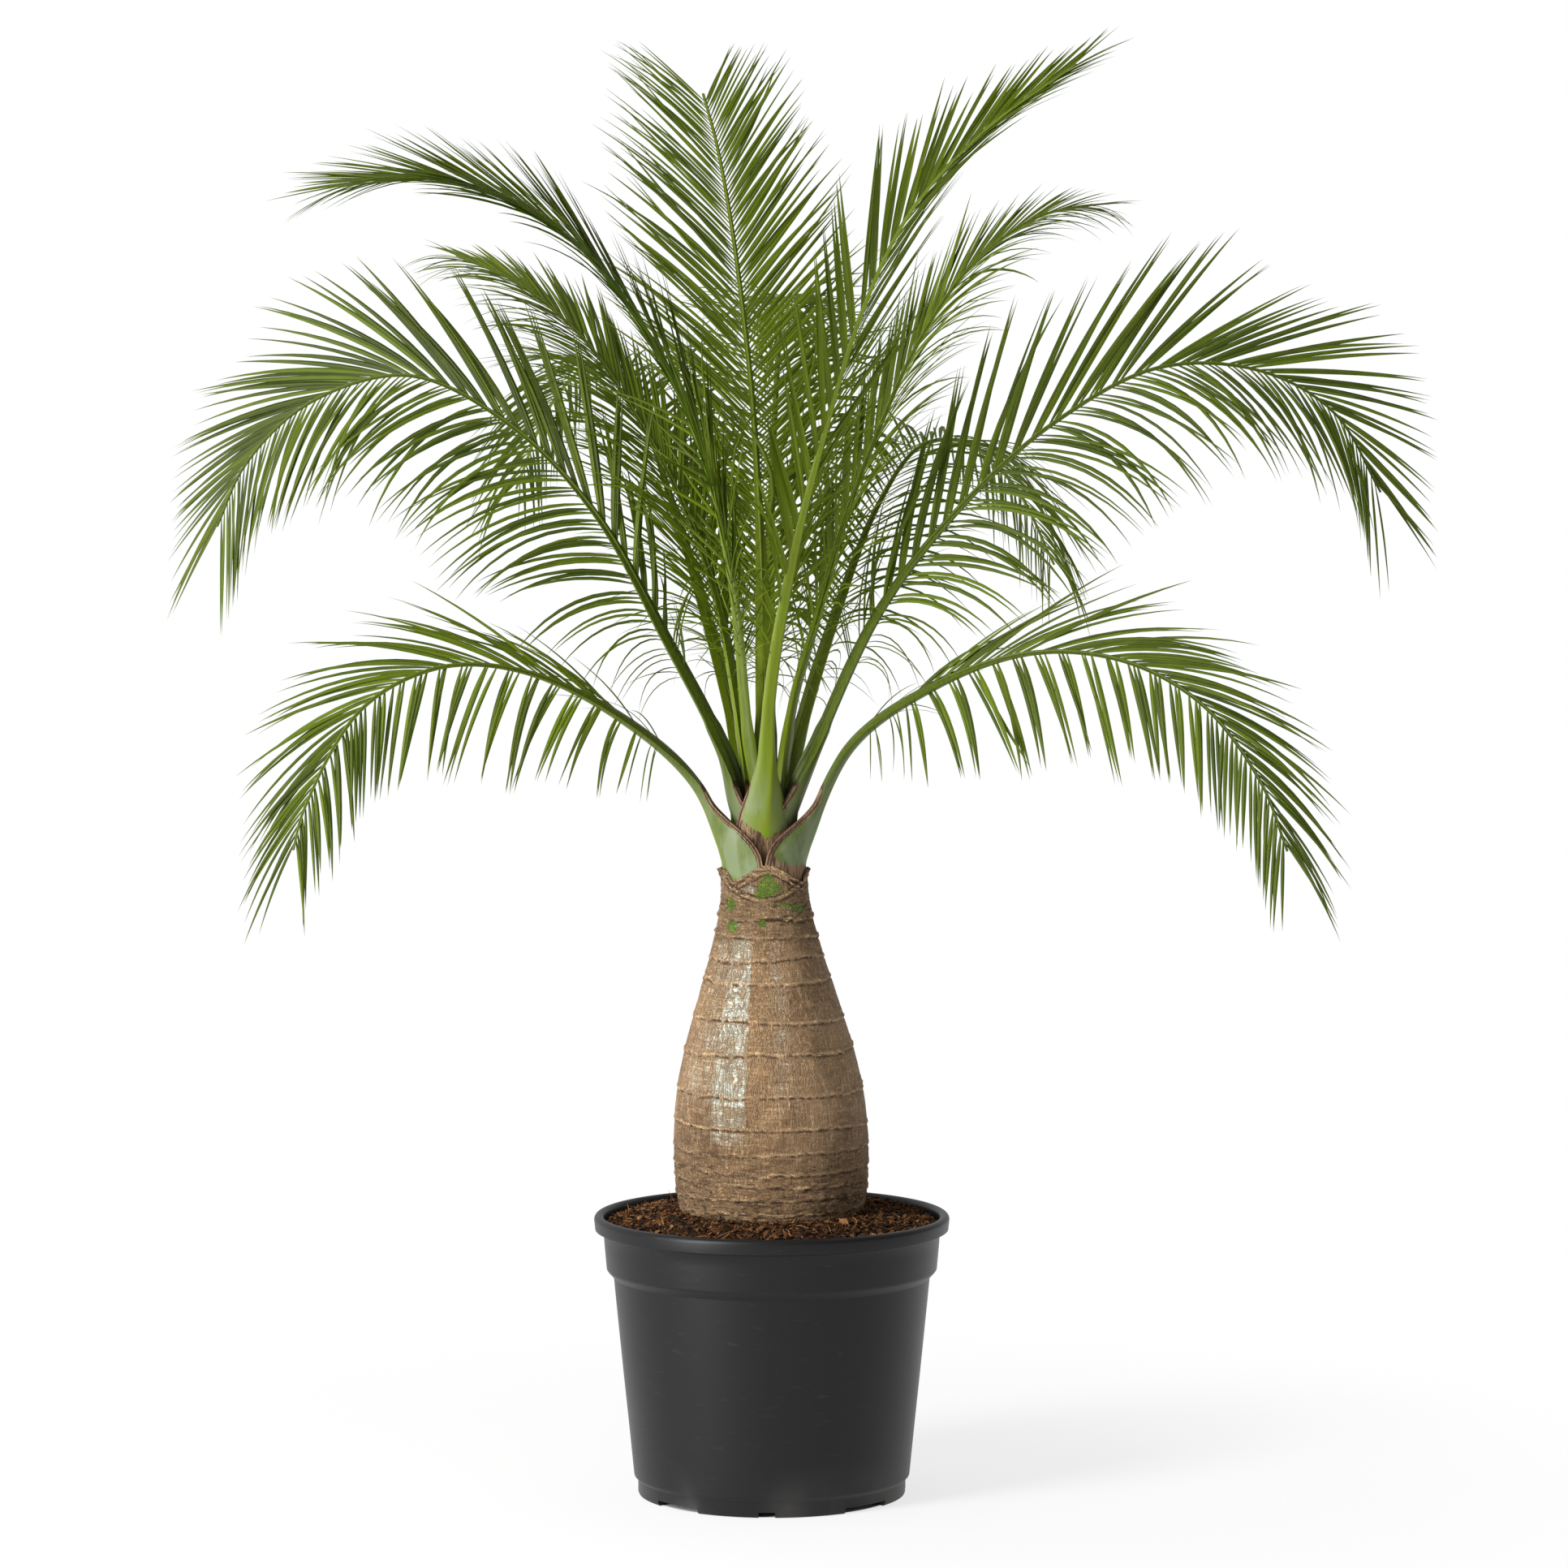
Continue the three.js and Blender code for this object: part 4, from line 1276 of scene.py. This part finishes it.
@dataclass
class Rachis:
    """A frond's middle line, with the directions of its blade along it. Millimetres."""

    frond: Frond
    root_height: float = 529.3
    lean: float = -6.5
    ring_radius: tuple[float, ...] = (32.5, 26, 19.5, 13.2, 6.8)
    upright: tuple[float, ...] = (12, 24, 22, 48, 60)
    sheath_end: float = 132
    buried: float = 17

    def __post_init__(self) -> None:
        """Draws the line as one smooth curve through its points."""
        ring, side = self.frond.ring, math.radians(self.frond.side)
        outward = np.array([math.cos(side), math.sin(side), 0.0])
        root = outward * self.ring_radius[ring] + (self.lean, 0, self.root_height)
        points = np.array([root, root + (0, 0, self.upright[ring]), *self.frond.route], float)
        before, after = 2 * points[0] - points[1], 2 * points[-1] - points[-2]
        points = np.concatenate([[before], points, [after]])
        line = [root[None]]
        for a, b, c, d in zip(points, points[1:], points[2:], points[3:]):
            da, db, dc = (np.linalg.norm(q - p) ** 0.5 for p, q in ((a, b), (b, c), (c, d)))
            leave = ((b - a) / da - (c - a) / (da + db) + (c - b) / db) * db
            arrive = ((c - b) / db - (d - b) / (db + dc) + (d - c) / dc) * db
            t = np.linspace(0, 1, 49)[1:, None]
            line.append(b + leave * t + (3 * (c - b) - 2 * leave - arrive) * t ** 2
                        + (2 * (b - c) + leave + arrive) * t ** 3)
        self.line = np.concatenate([root[None] - (0, 0, self.buried), *line])
        steps = np.linalg.norm(np.diff(self.line, axis=0), axis=1)
        self.reach = np.concatenate([[0], np.cumsum(steps)]) - self.buried
        self.length = float(self.reach[-1])
        x, y, _ = unit((self.line[-1] - (self.lean, 0, 0)) * (1, 1, 0))
        self.blade_side = np.array([-y, x, 0.0])
        self.sheath_side = np.array([-outward[1], outward[0], 0.0])

    def point(self, distance: Array) -> Array:
        """The place on the line at each distance from its root."""
        return np.stack([np.interp(distance, self.reach, axis) for axis in self.line.T], axis=1)

    def at(self, distance: Array) -> tuple[Array, Array, Array, Array]:
        """The line at each distance from its root.

        Args:
            distance: Distances along the line, in millimetres.

        Returns:
            The place, and the directions along the rachis, across it and to its upper side.
        """
        along = unit(self.point(distance + 2) - self.point(distance - 2))
        along = np.where(distance[:, None] < 0.5, [[0, 0, 1.0]], along)
        grown = ease(distance, 0, self.sheath_end)[:, None]
        across = squared(between(self.sheath_side, self.blade_side, grown), along)
        upper = -np.cross(across, along)
        turn = -math.radians(self.frond.roll) * grown[:, 0]
        across, upper = (turned_about(side, along, turn) for side in (across, upper))
        return self.point(distance), along, across, upper


@dataclass
class FrondHead:
    """All fronds, from the outermost old ones to the young ones in the middle. Millimetres."""

    wall: float = 5
    closing: Pairs = ((4, 62), (20, 105), (26, 122), (10, 112), (10, 112))
    stalk_radius: float = 9
    end_radius: float = 7.2
    rachis_radius: float = 4.4
    tip_radius: float = 1.3
    hollow: float = 1.2
    half_angle: float = 80
    widths: Pairs = (
        (0, 0.34), (1, 0.52), (3, 0.8), (5, 0.95), (8, 1.0), (11, 0.94), (14, 0.81), (17, 0.62),
        (20, 0.38), (22, 0.2),
    )
    bare_until: float = 0.225  # shares of the rachis's length
    leafy_until: float = 0.995
    seed: int = 7919

    def sheath_and_stalk(self, rachis: Rachis, name: str) -> Object:
        """The sheath, petiole and rachis as one closed skin.

        Args:
            rachis: The frond's middle line.
            name: The piece's name.

        Returns:
            The closed skin.
        """
        frond = rachis.frond
        ring = rachis.ring_radius[frond.ring]
        opens, closed = self.closing[frond.ring]
        low = np.arange(-rachis.buried, 150, 3.5)
        distance = np.concatenate([low, np.linspace(150, rachis.length - 0.5, 60)])
        closing = ease(distance, opens, closed)[:, None]
        ended = np.clip((distance - closed) / (rachis.sheath_end - closed), 0, 1)
        thin = between(self.stalk_radius, self.end_radius, ended)
        slim = between(self.rachis_radius, self.tip_radius, distance / rachis.length)
        leafy = ease(distance, 120, 0.55 * rachis.length)
        stalk = between(thin, slim, leafy)[:, None]
        fuller = (1.8 * ease(distance, -2, 14) + 0.2)[:, None] if frond.ring == 0 else 0
        outer = between(ring + self.wall / 2 + fuller, stalk, closing)
        inner = between(max(ring - self.wall / 2, 1), self.hollow * stalk / 9, closing)
        inner = between(inner, -0.45 * stalk, leafy[:, None])
        half = np.radians(between(frond.wrap, self.half_angle, closing))
        middle = between(ring, stalk / 2, closing)
        spread = np.sin(np.linspace(-1, 1, 37) * math.pi / 2)[None]
        back = spread[:, 35:0:-2]
        inward = 1 - np.abs(spread)
        shoulders = 0.05 * closing * hump(np.abs(spread), 0.45, 0.25)
        keel = 1 + 0.13 * closing * hump(spread, 0, 0.16) - shoulders
        ropes = hump(inward, 0.013, 0.016) + hump(inward, 0.062, 0.018)
        face = outer * (1 + 0.042 * (1 - closing) * ease(distance, 8, 18)[:, None] * ropes)
        side = [face * np.sin(half * spread), inner * np.sin(half * back)]
        lift = [middle - face * keel * np.cos(half * spread), middle - inner * np.cos(half * back)]
        side, lift, edge = (np.concatenate(p, axis=1) for p in (side, lift, (spread, back)))
        place, _, across, upper = rachis.at(distance)
        rings = place[:, None] + across[:, None] * side[..., None]
        rings += upper[:, None] * lift[..., None]
        edge = np.abs(edge)
        green_from = (60, 115) if frond.wrap > 40 else (15, 40)
        beyond = 12 * ease(distance, *green_from)[:, None]
        foot = distance[:, None] - frond.foot[0] - (frond.foot[1] - frond.foot[0]) * edge
        return rolled(name, rings, {
            "edge": ((1 - edge) * half * np.maximum(outer, 3) + beyond) * MM,
            "foot": foot * MM,
            "reach": np.repeat(distance[:, None] * MM, edge.shape[1], 1),
            "youth": np.full_like(foot, frond.youth),
            # the keel's middle, where the finish paints a highlight
            "shade": hump(edge, 0, 0.17) + 0 * foot,
        })

    def row(self, rachis: Rachis, row: Row, hand: Hand, random: Random) -> tuple[Shoots, Facts]:
        """One row of leaflets, from the wispy ones at the stalk to the tip.

        Args:
            rachis: The frond's middle line.
            row: How this row grows.
            hand: The side that it stands on.
            random: The frond's random numbers.

        Returns:
            The leaflets, and what the finish reads of each.
        """
        spacing = rachis.frond.spacing
        first, last = self.bare_until * rachis.length, self.leafy_until * rachis.length
        count = round((last - first) / spacing)
        order = np.arange(count)
        bunch, member = order // 3, order % 3 - 1
        share = order / count
        tight = row.clump * (1 - 0.7 * ease(share, 0.45, 0.8))

        def chance(*columns: int) -> Array:
            """Normal random numbers that the leaflets of a tight bunch have in common."""
            own, common = random.normal(size=(2, count, *columns))
            return between(own, common[bunch], (0.85 * tight).reshape(-1, *(1 for _ in columns)))

        share = share - 0.45 * tight * member / count + random.normal(0, 0.12 / count, count)
        share = np.clip(share, 0, 1)
        distance = between(first, last, share)
        wispy = 1 - ease(share, 0.02, 0.16)
        angle = between(row.root_angle, row.tip_angle, share ** 1.25)
        closer = 0.55 * spacing * np.sin(np.radians(angle)) / (0.9 * row.length)
        angle += np.degrees(closer) * 1.15 * tight * member + row.stray * chance()
        rise = row.rise + 1.7 * row.stray * chance() + wispy * random.normal(10, 22, count)
        place, along, across, upper = rachis.at(distance)
        a, r = np.radians(angle)[:, None], np.radians(rise)[:, None]
        outward = across * hand.value * np.cos(r) + upper * np.sin(r)
        rounded = between(0.42, 1.0, np.sin(np.clip(share / 0.3, 0, 1) * math.pi / 2))
        long = between(rounded, row.taper, np.clip((share - 0.4) / 0.6, 0, 1) ** 1.7)
        radius = between(self.rachis_radius, self.tip_radius, distance / rachis.length)[:, None]
        wild = row.curl * (1 - 0.92 * ease(share, 0.25, 0.45)) + wispy
        narrow = between(1.0, 0.3, wispy) * between(1, 0.72, ease(share, 0.7, 1))
        shoots = Shoots(
            place=place + outward * radius * 0.35,
            heading=along * np.cos(a) + outward * np.sin(a),
            breadth=-hand.value * along,
            aim=along * 0.6 + 0.6 * chance(3) * (0.2 + wild[:, None]),
            length=row.length * long * np.clip(0.97 + 0.08 * chance(), 0.8, 1.12),
            width=row.width * narrow * random.uniform(0.75, 1.15, count),
            droop=row.droop * np.clip(1 + 0.25 * chance(), 0.5, 1.5) * (1 + 1.3 * wispy),
            sweep=random.uniform(0.0, 0.35, count) + 0.9 * wild * random.uniform(0.3, 1, count),
            twist=0.13 * row.stray * chance(),
        )
        return shoots, {"shade": random.uniform(0, 1, count), "reach": distance * MM}

    @staticmethod
    def kept_inside(shoots: Shoots, pattern: Pattern) -> Array:
        """Grows the leaflets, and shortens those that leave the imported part's box.

        Args:
            shoots: The leaflets.
            pattern: Their shape.

        Returns:
            The corners of every leaflet in millimetres.
        """
        low, high = (np.array(corner) / MM for corner in CAD_BOX)
        for _ in range(8):
            corners = shoots.grown(pattern)
            outside = ((corners < low) | (corners > high)).any(axis=(1, 2))
            if not outside.any():
                break
            shoots.length = np.where(outside, shoots.length * 0.9, shoots.length)
        return corners

    def leaflets(self, rachis: Rachis, pattern: Pattern, random: Random) -> Object:
        """Both rows of leaflets as one mesh.

        Args:
            rachis: The frond's middle line.
            pattern: One leaflet.
            random: The frond's random numbers.

        Returns:
            The leaflets.
        """
        frond = rachis.frond
        sides = ((frond.left, Hand.LEFT), (frond.right, Hand.RIGHT))
        rows = [self.row(rachis, row, hand, random) for row, hand in sides]
        corners = np.concatenate([self.kept_inside(shoots, pattern) for shoots, _ in rows])
        facts = {key: np.concatenate([known[key] for _, known in rows]) for key in rows[0][1]}
        for key, value in (("youth", frond.youth), ("edge", 1), ("foot", 1)):
            facts[key] = np.full(len(corners), value)
        return pattern.copied("leaflets", corners, facts)

    def build(self, fronds: Sequence[Frond], stalk: Material, blade: Material) -> None:
        """Makes every frond in its finish.

        Args:
            fronds: The fronds, outermost first.
            stalk: The finish of sheath, petiole and rachis.
            blade: The leaflets' finish.
        """
        pattern = Pattern.drawn_out(sides=4, thick=0.075, fold=0.2, rings=self.widths)
        for number, frond in enumerate(fronds, 1):
            rachis = Rachis(frond)
            body = self.sheath_and_stalk(rachis, f"leafy_frond_{number:02d}")
            rows = self.leaflets(rachis, pattern, np.random.default_rng(self.seed + number))
            body.data.materials.append(stalk)
            rows.data.materials.append(blade)
            finished(joined(body, rows), f"frond_{number:02d}", crease=38)


HANGING, HANGING_LONGER = (Row(88, 20, -42, 1.2, length, 4.2, 1, 0.2, 0.75) for length in (98, 102))
SPREAD, SPREAD_LONGER = (Row(27, 20, 18, 0.5, length, 3.8, 0.5, 0.35) for length in (142, 146))
UPRIGHT = [Row(50, 33, 10, *hang, 3.35, 0, 1.3, 0.62, 1) for hang in ((0.35, 166), (0.3, 160))]
BEHIND = Row(50, 30, 22, 0.9, 132, 3.6, 0, 0.6)
YOUNGEST = Row(58, 34, 24, 1.3, 122, 3.4, 0, 1.2)
FRONDS = (
    Frond(0, 190, 78, 32, HANGING, SPREAD, (
        (-62, -10, 601), (-135, -43, 666), (-210, -71, 701), (-275, -96, 704), (-335, -122, 672),
        (-380, -156, 592), (-388, -166, 560)), 0.3, (-9, -4), 6.8),
    Frond(0, 350, 78, -32, SPREAD_LONGER, HANGING_LONGER, (
        (63, -10, 630), (134, -40, 685), (215, -72, 715), (290, -100, 710), (352, -129, 676),
        (398, -158, 614), (418, -177, 560)), 0.22, (4, 9), 6.8),
    Frond(2, 200, 70, 32, Row(54, 30, -26, 1.15, 150, 3.7, 0.6),
          Row(30, 16, 26, 0.3, 172, 5, 1, 0.35), (
        (-33, -3, 584), (-41, 0, 627), (-91, 12, 726), (-149, 22, 828), (-218, 31, 900),
        (-305, 40, 943), (-390, 50, 920), (-445, 57, 868), (-470, 61, 815)), 0.16, spacing=5.9),
    Frond(2, 340, 70, -32, Row(36, 18, 26, 0.15, 176, 4.6, 1),
          Row(46, 24, -22, 1.25, 146, 3.7, 0.6), (
        (22, -3, 588), (40, 0, 638), (94, 6, 751), (169, 10, 844), (240, 13, 906), (325, 16, 950),
        (410, 20, 947), (472, 22, 912), (512, 26, 845)), 0.22, spacing=6.8),
    Frond(4, 190, 60, -12, Row(48, 15, -16, 0.5, 158, 4, 0, 0.2, 0.44),
          Row(27, 18, 30, 0.12, 162, 5.2, 0.8, 0.2, 0.46), (
        (-21, -4, 650), (-34, -15, 776), (-62, -25, 892), (-107, -33, 982), (-164, -41, 1054),
        (-250, -50, 1101), (-318, -56, 1106), (-346, -59, 1101)), 0.36, spacing=4.4),
    Frond(3, 20, 48, 10, Row(29, 16, 24, 0.25, 135, 4, 0.6, 0.2, 0.4),
          Row(32, 22, 0, 1.05, 122, 3.2, 0, 0.5, 0.42), (
        (18, 6, 671), (38, 16, 740), (62, 31, 822), (88, 47, 891), (125, 66, 972), (170, 84, 1036),
        (226, 103, 1077), (274, 115, 1088)), 0.5, spacing=4.6),
    Frond(1, 272, 58, 0, Row(40, 5, 12, 0.3, 150, 3.9, 0.6, 0.1, 0.4),
          Row(30, 9, 18, 0.05, 150, 4.4, 1, 0.1, 0.46), (
        (-3, -29, 590), (-1, -34, 673), (18, -48, 790), (42, -71, 889), (77, -103, 1003),
        (114, -132, 1078), (170, -172, 1140), (242, -226, 1192)), 0.82, (27, 45), 7.2),
    Frond(4, 80, 60, 0, *UPRIGHT, (
        (-7, 14, 650), (-10, 50, 800), (-16, 86, 912), (-24, 114, 990), (-35, 146, 1072),
        (-48, 176, 1142), (-60, 199, 1186)), 0.62, spacing=4.3),
    Frond(3, 150, 48, -8, Row(40, 20, 0, 0.9, 130, 3.4, 0, 0.5, 0.42),
          Row(30, 17, 26, 0.3, 128, 4, 0.5, 0.2, 0.42), (
        (-30, 14, 671), (-48, 34, 760), (-78, 62, 840), (-118, 92, 912), (-160, 124, 972),
        (-220, 163, 1022), (-274, 192, 1046)), 0.75, spacing=4.6),
    Frond(1, 62, 34, 0, Row(54, 30, 24, 1.1, 134, 3.4, 0, 0.8),
          Row(56, 30, 14, 1.5, 134, 3.4, 0, 0.8), (
        (24, 46, 640), (57, 90, 745), (92, 138, 832), (128, 188, 880), (172, 244, 882),
        (216, 296, 842), (252, 338, 772)), 0.7, spacing=6.2),
    Frond(1, 120, 34, 0, BEHIND, BEHIND, (
        (-31, 46, 640), (-60, 96, 750), (-92, 152, 850), (-122, 214, 926), (-160, 286, 950),
        (-200, 352, 912), (-232, 400, 838)), 0.7, spacing=6.2),
    Frond(3, 85, 20, 0, YOUNGEST, YOUNGEST, (
        (-4, 30, 640), (-3, 66, 745), (0, 112, 850), (4, 168, 938), (8, 236, 998), (12, 312, 1008),
        (16, 376, 970)), 1.0, spacing=5.0),
)


# ---- studio


@dataclass(frozen=True)
class Lamp:
    """A rectangular soft light that isn't seen itself. Metres and watts."""

    name: str
    place: Place
    aim: Place
    size: tuple[float, float]
    watts: float

    def hang(self) -> None:
        """Hangs the light at its place, turned to its aim."""
        data = bpy.data.lights.new(self.name, "AREA")
        data.shape = "RECTANGLE"
        data.size, data.size_y = self.size
        data.energy = self.watts
        lamp = bpy.data.objects.new(self.name, data)
        lamp.visible_camera = False
        lamp.location = self.place
        sight = Vector(self.aim) - Vector(self.place)
        lamp.rotation_euler = sight.to_track_quat("-Z", "Y").to_euler()
        bpy.context.scene.collection.objects.link(lamp)


@dataclass
class Studio:
    """A white floor, two soft lights from the left and the photograph's camera. Metres."""

    eye: Place = (0.0103, -4.8916, 0.9779)
    tilt: float = 85.6
    lens: float = 134.16
    sensor: float = 36
    floor_side: float = 60
    world: float = 0.45
    slant: Place = (-0.22, 0.26, 0.12)
    white: Colour = (0.96, 0.96, 0.955)
    floor_glow: float = 0.74
    foot_edge: tuple[float, float] = (0.106, 0.109)
    shadow_edge: tuple[float, float] = (0.25, 0.9)
    lamps: tuple[Lamp, ...] = (
        Lamp("key", (-2.4, -2.1, 1.6), (0, 0, 0.5), (1.1, 2.9), 160),
        Lamp("low_strip", (-1.7, -1.38, 0.23), (0, 0, 0.12), (0.25, 0.38), 9),
    )

    def camera(self) -> None:
        """Puts the camera where the photograph's stood."""
        camera = bpy.data.objects.new("camera", bpy.data.cameras.new("camera"))
        camera.location = self.eye
        camera.rotation_euler = (math.radians(self.tilt), 0, 0)
        camera.data.lens = self.lens
        camera.data.sensor_width = self.sensor
        camera.data.clip_end = self.floor_side
        bpy.context.scene.collection.objects.link(camera)
        bpy.context.scene.camera = camera

    def floor(self) -> None:
        """Lays a white floor that catches the shadow near the pot and glows white further out."""
        floor = start(bpy.ops.mesh.primitive_plane_add, size=self.floor_side)
        floor.name = "floor"
        recipe = Recipe("white_floor")
        place = {0: recipe.coordinates["Object"]}
        out = Reading(recipe, recipe.node("VectorMath", {"operation": "LENGTH"}, place)["Value"])
        lit = self.floor_glow + (1 - self.floor_glow) * out.eased(*self.shadow_edge)
        near = recipe.node("BsdfDiffuse", {}, {0: (*self.white, 1)})[0]
        glow = recipe.node("Emission", {}, {0: (1, 1, 1, 1), 1: 1.0})[0]
        amount = lit * out.eased(*self.foot_edge)
        both = recipe.node("MixShader", {}, {0: amount, 1: near, 2: glow})[0]
        recipe.node("OutputMaterial", {}, {0: both})
        floor.data.materials.append(recipe.owner)

    def room(self) -> None:
        """Lights the room softly from all round, most from the left, and shows it white."""
        recipe = Recipe("white_room", "worlds")
        slanted = {0: recipe.coordinates["Generated"], 1: self.slant}
        lit = recipe.node("VectorMath", {"operation": "DOT_PRODUCT"}, slanted)["Value"]
        seen = Reading(recipe, recipe.node("LightPath")["Is Camera Ray"])
        level = (Reading(recipe, lit) + self.world).most(seen)
        glow = recipe.node("Background", {}, {0: (1, 1, 1, 1), 1: level})[0]
        recipe.node("OutputWorld", {}, {0: glow})
        bpy.context.scene.world = recipe.owner

    def build(self) -> None:
        """Sets the studio up."""
        self.camera()
        self.floor()
        self.room()
        for lamp in self.lamps:
            lamp.hang()
        bpy.context.scene.view_settings.view_transform = "Standard"


def main() -> None:
    """Builds the palm, piece by piece."""
    logging.basicConfig(level=logging.INFO, format="%(name)s: %(message)s")
    Studio().build()
    NurseryPot().build(MouldedPlastic().material())
    PottingMix().build(PottingCrumbs().material())
    BottleTrunk().build(PalmBark().material())
    FrondHead().build(FRONDS, StalkSkin().material(), LeafBlade().material())


if __name__ == "__main__":
    main()
